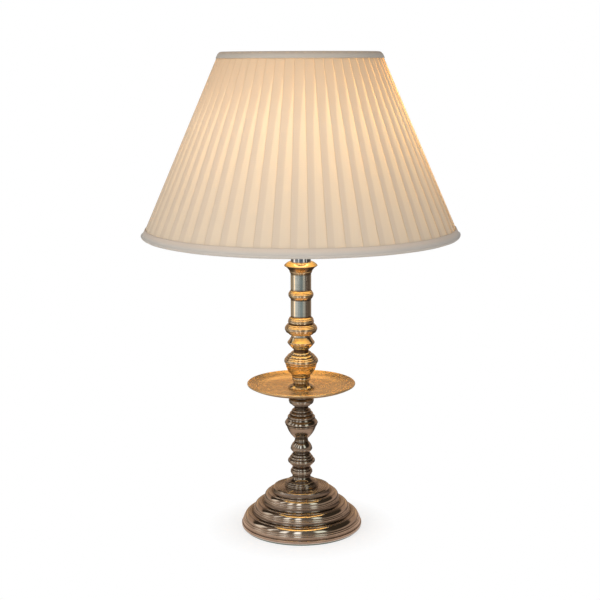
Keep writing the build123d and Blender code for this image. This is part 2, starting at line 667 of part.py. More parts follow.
with BuildPart() as bulb_insulator:
    low_z = BULB_TIP_Z + BULB_TIP_H
    turn_polygon([(0, low_z), (BULB_TIP_R, low_z), (BULB_INSULATOR_R, BULB_CAP_Z), (0, BULB_CAP_Z)])
save(bulb_insulator.part, "bulb_insulator")

with BuildPart() as bulb_cap:
    root_r = BULB_CAP_R - BULB_THREAD_DEPTH
    inner_r = root_r - BULB_CAP_WALL
    with BuildSketch(Plane.XZ):
        with BuildLine():
            thread = [
                (root_r, BULB_THREAD_PITCH, BULB_THREAD_DEPTH) for _ in range(BULB_THREADS)
            ] + [(root_r, BULB_COLLAR_H)]
            Line((0, BULB_CAP_Z), (root_r, BULB_CAP_Z))
            top = trace((root_r, BULB_CAP_Z), thread)
            Polyline(
                top,
                (inner_r, top[1]),
                (inner_r, BULB_CAP_Z + BULB_CAP_WALL),
                (0, BULB_CAP_Z + BULB_CAP_WALL),
                (0, BULB_CAP_Z),
            )
        make_face()
    revolve(axis=Axis.Z)
save(bulb_cap.part, "bulb_cap")


def bulb_outline(shrink):
    """Half section of the glass in the open BuildLine, inward by shrink and closed along the axis."""
    foot_z = BULB_CAP_TOP_Z + shrink
    neck_z = BULB_CAP_TOP_Z + BULB_NECK_H
    centre_z = BULB_CAP_TOP_Z + BULB_GLASS_H - BULB_R
    ball_r = BULB_R - shrink
    neck_r = BULB_NECK_R - shrink
    join_r = ball_r * cos(radians(BULB_JOIN_DEG))
    join_drop = ball_r * sin(radians(BULB_JOIN_DEG))
    top = (0, centre_z + ball_r)
    Polyline((0, foot_z), (neck_r, foot_z), (neck_r, neck_z))
    SagittaArc((neck_r, neck_z), (join_r, centre_z - join_drop), -BULB_WAIST_BULGE)
    ThreePointArc((join_r, centre_z - join_drop), (join_r, centre_z + join_drop), top)
    Line(top, (0, foot_z))


with BuildPart() as bulb_glass:
    with BuildSketch(Plane.XZ):
        with BuildLine():
            bulb_outline(0)
        make_face()
    revolve(axis=Axis.Z)
    with BuildSketch(Plane.XZ):
        with BuildLine():
            bulb_outline(BULB_GLASS_T)
        make_face()
    revolve(axis=Axis.Z, mode=Mode.SUBTRACT)
save(bulb_glass.part, "bulb_glass")

# ---- Shade rings and gimbal ----

with BuildPart() as shade_ring_lower:
    ring_solid(HOLDER_R + SEAT_CLEARANCE, SHADE_RING_R, LOWER_RING_Z, LOWER_RING_Z + SHADE_RING_T)
save(shade_ring_lower.part, "shade_ring_lower")

with BuildPart() as shade_ring_upper:
    ring_solid(HOLDER_R + PIN_CLEARANCE, SHADE_RING_R, UPPER_RING_Z, UPPER_RING_Z + SHADE_RING_T)
save(shade_ring_upper.part, "shade_ring_upper")

with BuildPart() as gimbal_ring:
    ring_solid(HOLDER_R + MOVING_CLEARANCE, GIMBAL_RING_R, GIMBAL_Z, GIMBAL_Z + GIMBAL_RING_T)
    for side in (-1, 1):
        with BuildSketch(Plane.YZ.offset(side * GIMBAL_RING_R)):
            with Locations((0, PIVOT_Z)):
                Circle(PIN_R + PIN_CLEARANCE)
        extrude(amount=-side * PIN_DEPTH, mode=Mode.SUBTRACT)
save(gimbal_ring.part, "gimbal_ring")

with BuildPart() as gimbal_pins:
    for side in (-1, 1):
        head_x = HOOP_R + MOVING_CLEARANCE
        with BuildSketch(Plane.YZ.offset(side * (GIMBAL_RING_R - PIN_DEPTH))):
            with Locations((0, PIVOT_Z)):
                Circle(PIN_R)
        extrude(amount=side * (head_x - GIMBAL_RING_R + PIN_DEPTH))
        with BuildSketch(Plane.YZ.offset(side * head_x)):
            with Locations((0, PIVOT_Z)):
                Circle(PIN_HEAD_R)
        extrude(amount=side * PIN_HEAD_T)
save(gimbal_pins.part, "gimbal_pins")

with BuildPart() as shade_hoop:
    ring_solid(HOOP_INNER_R, HOOP_R, PIVOT_Z - HOOP_H / 2, PIVOT_Z + HOOP_H / 2)
    with BuildSketch(Plane.YZ):
        with Locations((0, PIVOT_Z)):
            Circle(PIN_R + PIN_CLEARANCE)
    extrude(amount=HOOP_R, both=True, mode=Mode.SUBTRACT)
save(shade_hoop.part, "shade_hoop")

# ---- Shade frame ----


def ring_wire(z, wire_r):
    """A round wire hoop beside the cover at height z."""
    with BuildSketch(Plane.XZ) as section:
        with Locations((shade_r(z) - RING_INSET, z)):
            Circle(wire_r)
    revolve(section.sketch, axis=Axis.Z)


with BuildPart() as top_ring:
    ring_wire(TOP_RING_Z, RING_WIRE_R)
save(top_ring.part, "top_ring")

with BuildPart() as bottom_ring:
    ring_wire(BOTTOM_RING_Z, RING_WIRE_R)
save(bottom_ring.part, "bottom_ring")

with BuildPart() as ring_cutters:
    ring_wire(TOP_RING_Z, RING_WIRE_R + WELD_GAP)
    ring_wire(BOTTOM_RING_Z, RING_WIRE_R + WELD_GAP)


def strut_line(angle_deg, high_z):
    """Ends of the centre line of a strut, from the bottom ring up to high_z."""
    return [polar_point(shade_r(z) - STRUT_INSET, angle_deg, z) for z in (BOTTOM_RING_Z, high_z)]


def arm_line(number):
    """Ends of the centre line of an arm, from inside the hoop's wall to its strut."""
    angle = FIRST_STRUT_DEG + number * 360 / ARMS
    return polar_point(HOOP_R - HOOP_T / 2, angle, PIVOT_Z), strut_line(angle, PIVOT_Z + ARM_RISE)[1]


for number in range(STRUTS):
    with BuildPart() as strut:
        wire_between(*strut_line(FIRST_STRUT_DEG + number * 360 / STRUTS, TOP_RING_Z), WIRE_R)
        add(ring_cutters.part, mode=Mode.SUBTRACT)
    save(strut.part, f"strut_{number + 1}")

for number in range(ARMS):
    with BuildPart() as arm:
        wire_between(*arm_line(number), WIRE_R)
        ring_solid(0, HOOP_R + WELD_GAP, PIVOT_Z - HOOP_H, PIVOT_Z + HOOP_H, mode=Mode.SUBTRACT)
        strut_ends = strut_line(FIRST_STRUT_DEG + number * 360 / ARMS, TOP_RING_Z)
        wire_between(*strut_ends, WIRE_R + WELD_GAP, mode=Mode.SUBTRACT)
    save(arm.part, f"arm_{number + 1}")

# ---- Shade cloth ----


def pleat_ring(z):
    """Saw-tooth outline of the knife pleats at height z: each fold's edge stands over the next pleat."""
    outer = shade_r(z)
    valley = outer * (1 - PLEAT_DEPTH / SHADE_BOTTOM_R)
    pitch = 360 / PLEATS
    points = []
    for pleat in range(PLEATS):
        low_angle = pleat * pitch
        points.append(polar_point(valley, low_angle, 0))
        points.append(polar_point(outer, low_angle + pitch * PLEAT_EDGE, 0))
    return points


def pleat_backs(z):
    """Inside outline of the cover at height z, with a flat behind each half pleat."""
    inner = shade_r(z) - COVER_DEPTH
    return [polar_point(inner, half * 180 / PLEATS, 0) for half in range(2 * PLEATS)]


with BuildPart() as shade_cover:
    for outline, mode in ((pleat_ring, Mode.ADD), (pleat_backs, Mode.SUBTRACT)):
        for level in (COVER_BOTTOM_Z, COVER_TOP_Z):
            with BuildSketch(Plane.XY.offset(level)):
                with BuildLine():
                    Polyline(*outline(level), close=True)
                make_face()
        loft(ruled=True, mode=mode)
save(shade_cover.part, "shade_cover")

with BuildPart() as shade_lining:
    cone_wall(LINING_INSET, LINING_T, LINING_BOTTOM_Z, LINING_TOP_Z)
    for number in range(ARMS):
        wire_between(*arm_line(number), WIRE_R + CLOTH_CLEARANCE, mode=Mode.SUBTRACT)
save(shade_lining.part, "shade_lining")


def trim_band(edge_z, up, proud, thickness, outer_h):
    """A folded band over the shade's edge at edge_z. up is 1 on the lower edge and -1 on the upper."""
    turn_z = edge_z + up * thickness
    outer_z = edge_z + up * outer_h
    inner_z = edge_z + up * TRIM_INNER_H
    inner_inset = LINING_INSET + LINING_T + CLOTH_CLEARANCE
    turn_polygon(
        [
            (shade_r(edge_z) + proud, edge_z),
            (shade_r(outer_z) + proud, outer_z),
            (shade_r(outer_z) + CLOTH_CLEARANCE, outer_z),
            (shade_r(turn_z) + CLOTH_CLEARANCE, turn_z),
            (shade_r(turn_z) - inner_inset, turn_z),
            (shade_r(inner_z) - inner_inset, inner_z),
            (shade_r(inner_z) - inner_inset - thickness, inner_z),
            (shade_r(edge_z) - inner_inset - thickness, edge_z),
        ]
    )


with BuildPart() as bottom_trim:
    trim_band(SHADE_BOTTOM_Z, 1, TRIM_PROUD, TRIM_T, BOTTOM_TRIM_H)
    outside = bottom_trim.edges().filter_by(GeomType.CIRCLE).sort_by(SortBy.RADIUS)
    fillet(outside[-1:], radius=TRIM_T / 2)
save(bottom_trim.part, "bottom_trim")

with BuildPart() as top_trim:
    trim_band(SHADE_TOP_Z, -1, TOP_TRIM_PROUD, TOP_TRIM_T, TOP_TRIM_H)
save(top_trim.part, "top_trim")

print("pivot height", round(PIVOT_Z, 3), "mouth", round(MOUTH_Z, 3), "bulb top",
      round(BULB_CAP_TOP_Z + BULB_GLASS_H, 3), "bar height", round(BAR_Z, 3),
      "slant", round(degrees(atan(SHADE_SLOPE)), 2))
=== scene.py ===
"""Looks, light and camera for a candlestick table lamp with a pleated shade. Metres, +Z up.

Outlines are given in millimetres as (radius, height) points and turned about the lamp's axis.
"""

import bpy
from math import atan, atan2, cos, hypot, pi, radians, sin
from mathutils import Matrix


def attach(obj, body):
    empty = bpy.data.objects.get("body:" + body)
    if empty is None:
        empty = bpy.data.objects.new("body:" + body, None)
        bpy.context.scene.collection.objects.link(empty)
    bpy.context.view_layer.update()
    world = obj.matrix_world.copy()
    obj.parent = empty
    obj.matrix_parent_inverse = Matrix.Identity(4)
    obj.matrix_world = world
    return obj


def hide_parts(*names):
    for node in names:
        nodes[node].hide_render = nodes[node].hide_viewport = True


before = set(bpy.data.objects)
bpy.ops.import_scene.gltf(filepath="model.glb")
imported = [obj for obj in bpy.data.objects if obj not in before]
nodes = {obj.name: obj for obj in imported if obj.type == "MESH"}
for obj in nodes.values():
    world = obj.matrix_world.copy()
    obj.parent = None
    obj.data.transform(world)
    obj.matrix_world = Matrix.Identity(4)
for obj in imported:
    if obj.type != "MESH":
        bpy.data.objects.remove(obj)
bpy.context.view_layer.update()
scene = bpy.context.scene
MM = 0.001

# ---- Materials ----


def new_material(name):
    mat = bpy.data.materials.new(name)
    mat.use_nodes = True
    tree = mat.node_tree
    tree.nodes.clear()
    out = tree.nodes.new("ShaderNodeOutputMaterial")
    shader = tree.nodes.new("ShaderNodeBsdfPrincipled")
    tree.links.new(shader.outputs[0], out.inputs["Surface"])
    return mat, tree, shader, out


def add_node(tree, kind, values=None, **settings):
    node = tree.nodes.new(kind)
    for key, value in settings.items():
        setattr(node, key, value)
    for key, value in (values or {}).items():
        node.inputs[key].default_value = value
    return node


def link(tree, source, target):
    tree.links.new(source, target)


def rgb(colour):
    return (*colour, 1.0)


def noise(tree, vector, scale, detail=4.0, roughness=0.55):
    node = add_node(tree, "ShaderNodeTexNoise", {"Scale": scale, "Detail": detail, "Roughness": roughness})
    link(tree, vector, node.inputs["Vector"])
    return node.outputs["Fac"]


def remap(tree, value, low, high, to_low=0.0, to_high=1.0):
    node = add_node(
        tree,
        "ShaderNodeMapRange",
        {"From Min": low, "From Max": high, "To Min": to_low, "To Max": to_high},
        clamp=True,
    )
    link(tree, value, node.inputs["Value"])
    return node.outputs["Result"]


def maths(tree, operation, a, b=None):
    node = add_node(tree, "ShaderNodeMath", operation=operation)
    for socket, value in zip(node.inputs, (a, b)):
        if value is None:
            continue
        if isinstance(value, (int, float)):
            socket.default_value = value
        else:
            link(tree, value, socket)
    return node.outputs[0]


def mix_colour(tree, factor, a, b, blend="MIX"):
    node = add_node(tree, "ShaderNodeMix", data_type="RGBA", blend_type=blend)
    sockets = [s for s in node.inputs if s.enabled]
    for socket, value in zip(sockets, (factor, a, b)):
        if isinstance(value, (int, float)):
            socket.default_value = value
        elif isinstance(value, tuple):
            socket.default_value = rgb(value)
        else:
            link(tree, value, socket)
    return [s for s in node.outputs if s.enabled][0]


def bump(tree, shader, height, strength, distance):
    node = add_node(tree, "ShaderNodeBump", {"Strength": strength, "Distance": distance})
    link(tree, height, node.inputs["Height"])
    link(tree, node.outputs["Normal"], shader.inputs["Normal"])
    return node


def object_coords(tree):
    return add_node(tree, "ShaderNodeTexCoord").outputs["Object"]


def thread_coords(tree):
    return add_node(tree, "ShaderNodeUVMap", uv_map="threads").outputs[0]


def attribute(tree, name, output):
    node = add_node(tree, "ShaderNodeAttribute", attribute_name=name, attribute_type="GEOMETRY")
    return node.outputs[output]


def split(tree, vector):
    parts = add_node(tree, "ShaderNodeSeparateXYZ")
    link(tree, vector, parts.inputs[0])
    return parts.outputs


def lathe_coords(tree):
    """Coordinates (radius, 0, height): a pattern made on them runs in rings about the lamp's axis."""
    parts = split(tree, object_coords(tree))
    x2 = maths(tree, "MULTIPLY", parts["X"], parts["X"])
    y2 = maths(tree, "MULTIPLY", parts["Y"], parts["Y"])
    radius = maths(tree, "SQRT", maths(tree, "ADD", x2, y2))
    joined = add_node(tree, "ShaderNodeCombineXYZ")
    link(tree, radius, joined.inputs["X"])
    link(tree, parts["Z"], joined.inputs["Z"])
    return joined.outputs[0]


def plate_material(name, bright, aged, gloss, metallic=1.0, ringed=0.2):
    """Old silver plate: bright on crests, brown patina in grooves, painted shade on undersides, fine turning
    lines.

    gloss is the roughness of bright and of aged metal, and ringed the patina that turning lines add.
    """
    mat, tree, shader, _ = new_material(name)
    where, rings = object_coords(tree), lathe_coords(tree)
    clouds = noise(tree, where, 38.0, 6.0, 0.6)
    spots = noise(tree, where, 420.0, 3.0, 0.5)
    lines = noise(tree, rings, 1700.0, 3.0, 0.6)
    turning = noise(tree, rings, 520.0, 2.0, 0.5)
    # the patina attribute holds patina in grooves and painted shade on undersides; aged is the colour of
    # both
    age_and_shade = attribute(tree, "patina", "Fac")
    for stain in (
        remap(tree, clouds, 0.42, 0.68, 0.0, 0.14),
        remap(tree, turning, 0.46, 0.64, 0.0, ringed),
        remap(tree, spots, 0.62, 0.76, 0.0, 0.12),
    ):
        age_and_shade = maths(tree, "ADD", age_and_shade, stain)
    age_and_shade = maths(tree, "MINIMUM", age_and_shade, 1.0)
    link(tree, mix_colour(tree, age_and_shade, bright, aged), shader.inputs["Base Color"])
    shader.inputs["Metallic"].default_value = metallic
    rough = remap(tree, age_and_shade, 0.0, 1.0, *gloss)
    rough = maths(tree, "ADD", rough, remap(tree, lines, 0.3, 0.7, -0.02, 0.03))
    link(tree, rough, shader.inputs["Roughness"])
    height = maths(tree, "ADD", maths(tree, "MULTIPLY", lines, 0.5), maths(tree, "MULTIPLY", spots, 0.25))
    height = maths(tree, "ADD", height, maths(tree, "MULTIPLY", turning, 6.0 * ringed))
    bump(tree, shader, height, 0.12, 0.0002)
    return mat


def plain_metal(name, colour, roughness, grain=900.0, grain_bump=0.08, ringed=True, patch=0.06):
    """A metal with faint turning or rolling lines. patch is how much rougher it is in places."""
    mat, tree, shader, _ = new_material(name)
    where = lathe_coords(tree) if ringed else object_coords(tree)
    fine = noise(tree, where, grain, 3.0)
    cloud = noise(tree, object_coords(tree), 60.0, 4.0)
    darker = tuple(c * 0.72 for c in colour)
    link(tree, mix_colour(tree, remap(tree, cloud, 0.42, 0.7), colour, darker), shader.inputs["Base Color"])
    shader.inputs["Metallic"].default_value = 1.0
    link(tree, remap(tree, cloud, 0.3, 0.7, roughness, roughness + patch), shader.inputs["Roughness"])
    bump(tree, shader, fine, grain_bump, 0.0002)
    return mat


def moulded(name, colour, roughness, speck=0.85):
    """Moulded or fired material with a faint orange-peel surface. speck is the tone of its darker clouds."""
    mat, tree, shader, _ = new_material(name)
    where = object_coords(tree)
    cloud = noise(tree, where, 90.0, 4.0)
    darker = tuple(c * speck for c in colour)
    link(tree, mix_colour(tree, remap(tree, cloud, 0.35, 0.7), colour, darker), shader.inputs["Base Color"])
    link(tree, remap(tree, cloud, 0.3, 0.7, roughness, roughness + 0.12), shader.inputs["Roughness"])
    bump(tree, shader, noise(tree, where, 1400.0, 2.0), 0.08, 0.0003)
    return mat


def felt_material():
    mat, tree, shader, _ = new_material("green_baize")
    where = object_coords(tree)
    fibres = noise(tree, where, 2600.0, 5.0, 0.75)
    tufts = noise(tree, where, 300.0, 4.0, 0.6)
    colour = mix_colour(tree, remap(tree, fibres, 0.3, 0.7), (0.012, 0.045, 0.022), (0.035, 0.105, 0.055))
    link(tree, colour, shader.inputs["Base Color"])
    shader.inputs["Roughness"].default_value = 0.95
    shader.inputs["Sheen Weight"].default_value = 0.4
    height = maths(tree, "ADD", fibres, maths(tree, "MULTIPLY", tufts, 0.6))
    bump(tree, shader, height, 0.7, 0.0006)
    return mat


WHITE = (1.0, 1.0, 1.0)
THREAD_WAVE = 120.0  # scale of the weave's waves on the map in metres
TOP_SHADE_TONE = (0.93, 0.85, 0.76)  # painted shade: tone that darkens and warms the cloth towards the top
TOP_SHADE_HEIGHTS = (0.53, 0.605)  # where that painted shade begins and where it is full
THREE_LAYERS = (0.46, 0.34, 0.18)  # light through three layers of cloth, as a share of one layer's
BAND_EDGE = (0.0035, 0.0075)  # across a band, where its tone changes from the inner to the outer


def weave_maps(tree, slub):
    """Tone and height of woven cloth on the map "threads", whose two directions are in metres."""
    uv = thread_coords(tree)
    weave = []
    for direction in ("X", "Y"):
        wave = add_node(
            tree,
            "ShaderNodeTexWave",
            {"Scale": THREAD_WAVE, "Distortion": 0.8, "Detail": 2.0, "Detail Scale": 1.5},
            wave_type="BANDS",
            bands_direction=direction,
        )
        link(tree, uv, wave.inputs["Vector"])
        weave.append(wave.outputs["Fac"])
    cloth = maths(tree, "MULTIPLY", weave[0], weave[1])
    stretch = add_node(tree, "ShaderNodeMapping", {"Scale": (1.0, 0.05, 1.0)})
    link(tree, uv, stretch.inputs["Vector"])
    slubs = noise(tree, stretch.outputs[0], 700.0, 4.0, 0.6)
    clouds = noise(tree, uv, 14.0, 3.0)
    tone = remap(tree, cloth, 0.0, 1.0, 0.06, 0.0)
    for uneven in (slubs, clouds):
        tone = maths(tree, "ADD", tone, remap(tree, uneven, 0.3, 0.7, 0.0, slub))
    return tone, maths(tree, "ADD", cloth, maths(tree, "MULTIPLY", slubs, 0.7))


def cloth_material(
    name,
    colour,
    shaded,
    slub=0.10,
    through=0.0,
    light_colour=None,
    by_layers=False,
    under=False,
    edge=None,
    seen=None,
):
    """Woven cloth, whose threads vary between colour and shaded.

    through: share of light that the cloth lets through, in light_colour. Such cloth gets painted shade,
    darker and warmer towards the top.
    by_layers: "single" is 1 on one layer of cloth and falls where folds lie over each other.
    under: cloth folded under lets a lamp's rays pass, because "single" already counts what it holds back.
    edge: tone of the outer half of a band; on the top band it is a painted warm glow of the bulb's light
    through the roll.
    seen: painted shade, a darker tone that camera rays see all over the cloth, so that cloth lit by the
    nearby bulb does not clip.
    """
    mat, tree, shader, out = new_material(name)
    tone, height = weave_maps(tree, slub)
    surface = mix_colour(tree, tone, colour, shaded)
    if through:
        high = remap(tree, split(tree, object_coords(tree))["Z"], *TOP_SHADE_HEIGHTS)
        surface = mix_colour(tree, 1.0, surface, mix_colour(tree, high, WHITE, TOP_SHADE_TONE), "MULTIPLY")
    if edge:
        across = split(tree, thread_coords(tree))["Y"]
        surface = mix_colour(tree, remap(tree, across, *BAND_EDGE), surface, edge)
    if seen:
        direct = add_node(tree, "ShaderNodeLightPath").outputs["Is Camera Ray"]
        camera_shaded_cloth = mix_colour(tree, tone, seen, tuple(c * 0.8 for c in seen))
        surface = mix_colour(tree, direct, surface, camera_shaded_cloth)
    link(tree, surface, shader.inputs["Base Color"])
    shader.inputs["Roughness"].default_value = 0.9
    shader.inputs["Sheen Weight"].default_value = 0.1
    shader.inputs["Specular IOR Level"].default_value = 0.2
    relief = bump(tree, shader, height, 0.14, 0.0002)
    if not through:
        return mat
    glow = add_node(tree, "ShaderNodeBsdfTranslucent")
    tint = mix_colour(tree, tone, light_colour, tuple(c * 0.86 for c in light_colour))
    if by_layers:
        layered = mix_colour(tree, attribute(tree, "single", "Fac"), THREE_LAYERS, WHITE)
        tint = mix_colour(tree, 1.0, tint, layered, "MULTIPLY")
    link(tree, tint, glow.inputs["Color"])
    link(tree, relief.outputs["Normal"], glow.inputs["Normal"])
    mixed = add_node(tree, "ShaderNodeMixShader", {0: through})
    link(tree, shader.outputs[0], mixed.inputs[1])
    link(tree, glow.outputs[0], mixed.inputs[2])
    last = mixed
    if under:
        path = add_node(tree, "ShaderNodeLightPath")
        clear = add_node(tree, "ShaderNodeBsdfTransparent")
        last = add_node(tree, "ShaderNodeMixShader")
        link(tree, path.outputs["Is Shadow Ray"], last.inputs[0])
        link(tree, mixed.outputs[0], last.inputs[1])
        link(tree, clear.outputs[0], last.inputs[2])
    link(tree, last.outputs[0], out.inputs["Surface"])
    return mat


silver = plate_material("old_silver_plate", (0.70, 0.64, 0.57), (0.10, 0.066, 0.045), (0.07, 0.28))
# A golden copy of the silver plate for the upper column and socket: painted reflection of the lamplit shade.
lamplit_silver = plate_material(
    "silver_plate_painted_lamplight", (0.75, 0.65, 0.47), (0.15, 0.085, 0.045), (0.07, 0.26), ringed=0.06
)
# A darker copy of the silver plate for the lower column: painted shade under the pan.
pan_shaded_silver = plate_material("silver_plate_painted_shade", (0.50, 0.465, 0.42), (0.06, 0.042, 0.03), (0.07, 0.26))
# The drip pan's plate: its rougher worn finish is real, its orange tint is painted warm lamplight.
lamplit_pan_silver = plate_material(
    "worn_pan_plate_painted_lamplight", (0.80, 0.58, 0.31), (0.22, 0.125, 0.055), (0.24, 0.40), metallic=0.8, ringed=0.04
)
nickel = plain_metal("bright_nickel", (0.74, 0.71, 0.66), 0.03, grain_bump=0.02, patch=0.03)
nickel_dull = plain_metal("nickel_fittings", (0.58, 0.55, 0.50), 0.20)
zinc = plain_metal("zinc_steel", (0.50, 0.50, 0.48), 0.32, ringed=False)
brass = plain_metal("contact_brass", (0.72, 0.50, 0.22), 0.24, ringed=False)
iron = plain_metal("cast_iron", (0.10, 0.10, 0.10), 0.6, grain=300.0, grain_bump=0.5, ringed=False)
aluminium = plain_metal("bulb_cap_metal", (0.75, 0.75, 0.74), 0.22)
wire = moulded("white_coated_wire", (0.72, 0.68, 0.60), 0.4)
porcelain = moulded("porcelain", (0.80, 0.78, 0.72), 0.35, speck=0.94)
dark_plastic = moulded("dark_plastic", (0.025, 0.022, 0.02), 0.35)
black_glass = moulded("black_glass", (0.01, 0.01, 0.012), 0.12)
baize = felt_material()
PLEATED = {
    "colour": (0.655, 0.56, 0.45),
    "shaded": (0.57, 0.475, 0.37),
    "through": 0.25,
    "light_colour": (0.44, 0.425, 0.36),
}
cover_cloth = cloth_material("pleated_cloth", **PLEATED, by_layers=True)
folded_cloth = cloth_material("pleated_cloth_under", **PLEATED, under=True)
# The lining's yellow colours are painted warm lamplight for what the metal mirrors; camera rays see its seen
# tone instead, painted shade.
lining_cloth = cloth_material(
    "lining_cloth",
    (0.66, 0.58, 0.31),
    (0.58, 0.50, 0.25),
    through=0.30,
    light_colour=(0.80, 0.70, 0.55),
    seen=(0.26, 0.29, 0.33),
)
low_band = cloth_material(
    "bottom_band_cloth", (0.56, 0.465, 0.38), (0.42, 0.345, 0.28), slub=0.2, edge=(0.48, 0.435, 0.385)
)
# The top band's edge tone is painted lamplight glowing through its roll.
top_band = cloth_material(
    "top_band_cloth", (0.45, 0.40, 0.34), (0.36, 0.315, 0.26), slub=0.2, edge=(0.42, 0.335, 0.26)
)

# ---- Mesh helpers ----


def add_object(name, verts, faces, mat, body, replaced, uv=None, attributes=None):
    """A mesh in metres that rides on a body and stands for CAD nodes.

    uv is one (u, v) per vertex of faces in order, and attributes are named floats, one per vertex.
    """
    mesh = bpy.data.meshes.new(name)
    mesh.from_pydata(verts, [], faces)
    mesh.materials.append(mat)
    for label, values in (attributes or {}).items():
        mesh.attributes.new(label, "FLOAT", "POINT").data.foreach_set("value", values)
    if uv:
        layer = mesh.uv_layers.new(name="threads")
        layer.data.foreach_set("uv", [c for pair in uv for c in pair])
    mesh.polygons.foreach_set("use_smooth", [True] * len(mesh.polygons))
    mesh.update()
    obj = bpy.data.objects.new(name, mesh)
    scene.collection.objects.link(obj)
    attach(obj, body)
    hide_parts(*replaced)
    return obj


def weigh_normals(obj):
    mod = obj.modifiers.new("weighted", "WEIGHTED_NORMAL")
    mod.keep_sharp = True
    mod.weight = 60


def arc(start, end, bulge, pieces=8):
    """Points after start up to end, bowed to the right of the way from start to end."""
    if not bulge:
        return [end]
    dx, dy = end[0] - start[0], end[1] - start[1]
    chord = hypot(dx, dy)
    radius = (chord * chord / 4 + bulge * bulge) / (2 * abs(bulge))
    half = 2 * atan(2 * abs(bulge) / chord)
    side = 1 if bulge > 0 else -1
    nx, ny = dy / chord * side, -dx / chord * side
    mx, my = (start[0] + end[0]) / 2, (start[1] + end[1]) / 2
    cx, cy = mx - nx * (radius - abs(bulge)), my - ny * (radius - abs(bulge))
    points = []
    for n in range(1, pieces + 1):
        t = -half + 2 * half * n / pieces
        points.append(
            (
                cx + radius * (nx * cos(t) + dx / chord * sin(t)),
                cy + radius * (ny * cos(t) + dy / chord * sin(t)),
            )
        )
    return points


def reeds(way, count, bow=0.2):
    """Replace an open way by count small rounds of even length, each bowed out by a share of its length."""
    run = [0.0]
    for p, q in zip(way, way[1:]):
        run.append(run[-1] + hypot(q[0] - p[0], q[1] - p[1]))
    ends = []
    for n in range(count + 1):
        goal = run[-1] * n / count
        i = max(k for k in range(len(way) - 1) if run[k] <= goal + 1e-9)
        t = (goal - run[i]) / (run[i + 1] - run[i])
        ends.append(tuple(way[i][k] + (way[i + 1][k] - way[i][k]) * t for k in (0, 1)))
    points = []
    for p, q in zip(ends, ends[1:]):
        points += arc(p, q, bow * hypot(q[0] - p[0], q[1] - p[1]), 6)
    return points


def climb(start, steps):
    """Follow steps upward from start: (radius, rise), and if need be a bulge and a number of reeds."""
    points = [start]
    for step in steps:
        end = (step[0], points[-1][1] + step[1])
        way = arc(points[-1], end, step[2] if len(step) > 2 else 0)
        points += reeds([points[-1]] + way, step[3]) if len(step) > 3 else way
    return points


CORNER_STEPS = 4
CORNER_SHARE = 0.42  # of a side, that a rounded corner may take
LEAST_TURN = radians(9)  # a smaller turn of the outline isn't rounded


def soften(points, size):
    """Round each corner of a closed outline by up to size, in millimetres."""
    result = []
    count = len(points)
    for i, p in enumerate(points):
        before, after = points[i - 1], points[(i + 1) % count]
        a = (before[0] - p[0], before[1] - p[1])
        b = (after[0] - p[0], after[1] - p[1])
        la, lb = hypot(*a), hypot(*b)
        if la < 1e-6 or lb < 1e-6:
            continue
        turn = pi - abs(atan2(a[0] * b[1] - a[1] * b[0], a[0] * b[0] + a[1] * b[1]))
        if turn < LEAST_TURN:
            result.append(p)
            continue
        cut = min(size, CORNER_SHARE * la, CORNER_SHARE * lb)
        first = (p[0] + a[0] / la * cut, p[1] + a[1] / la * cut)
        last = (p[0] + b[0] / lb * cut, p[1] + b[1] / lb * cut)
        for n in range(CORNER_STEPS + 1):
            t = n / CORNER_STEPS
            ends = [(1 - t) ** 2 * first[k] + t * t * last[k] for k in (0, 1)]
            result.append(tuple(ends[k] + 2 * t * (1 - t) * p[k] for k in (0, 1)))
    return result


def divide(points, longest):
    """Divide the long sides of a closed outline."""
    result = []
    for p, q in zip(points, points[1:] + points[:1]):
        dx, dy = q[0] - p[0], q[1] - p[1]
        parts = max(1, int(hypot(dx, dy) / longest) + 1)
        result += [(p[0] + dx * n / parts, p[1] + dy * n / parts) for n in range(parts)]
    return result


def hollow_at(points, run, i, reach):
    """How far the outline within reach of point i lies outside its tangent there; negative on a crest."""
    count = len(points)
    total = run[-1]
    sums, weight = [0.0, 0.0], 0.0
    for way in (1, -1):
        j = (i + way) % count
        for _ in range(count // 2):
            gap = abs(run[j] - run[i])
            if min(gap, total - gap) > reach:
                break
            part = max(run[j + 1] - run[j], 1e-4)
            sums[0] += points[j][0] * part
            sums[1] += points[j][1] * part
            weight += part
            j = (j + way) % count
    if not weight:
        return 0.0
    after, before = points[(i + 1) % count], points[i - 1]
    tx, ty = after[0] - before[0], after[1] - before[1]
    length = max(hypot(tx, ty), 1e-6)
    return ((sums[0] / weight - points[i][0]) * ty - (sums[1] / weight - points[i][1]) * tx) / length


CLEAN_PATINA = 0.08
GROOVES = ((2.2, 0.55), (0.7, 0.55))  # how far round a point a groove is looked for, and the patina it gives
DEEP = 0.22  # a groove this share of that reach deep has its full patina
CREST = -0.12  # the most that a crest takes off


def patina_and_shade_of(points, underside_shade_share, dull):
    """Patina and painted shade per point of a closed outline: patina high in grooves, painted shade on
    undersides, both low on crests.

    The second argument is the painted shade that an underside gains, and dull gives more patina at a
    (radius, height).
    """
    run = [0.0]
    for p, q in zip(points, points[1:] + points[:1]):
        run.append(run[-1] + hypot(q[0] - p[0], q[1] - p[1]))
    values = []
    for i, point in enumerate(points):
        value = CLEAN_PATINA + (dull(*point) if dull else 0.0)
        for reach, share in GROOVES:
            hollow = hollow_at(points, run, i, reach) / (reach * DEEP)
            value += share * max(CREST, min(1.0, hollow))
        # painted shade: a point on an underside gains a share of darkening
        after, before = points[(i + 1) % len(points)], points[i - 1]
        run_x = after[0] - before[0]
        under = max(0.0, run_x / max(hypot(run_x, after[1] - before[1]), 1e-6))
        values.append(max(0.0, min(1.0, value + underside_shade_share * under)))
    return values


CORNER = 0.3
LONGEST_SIDE = 2.0


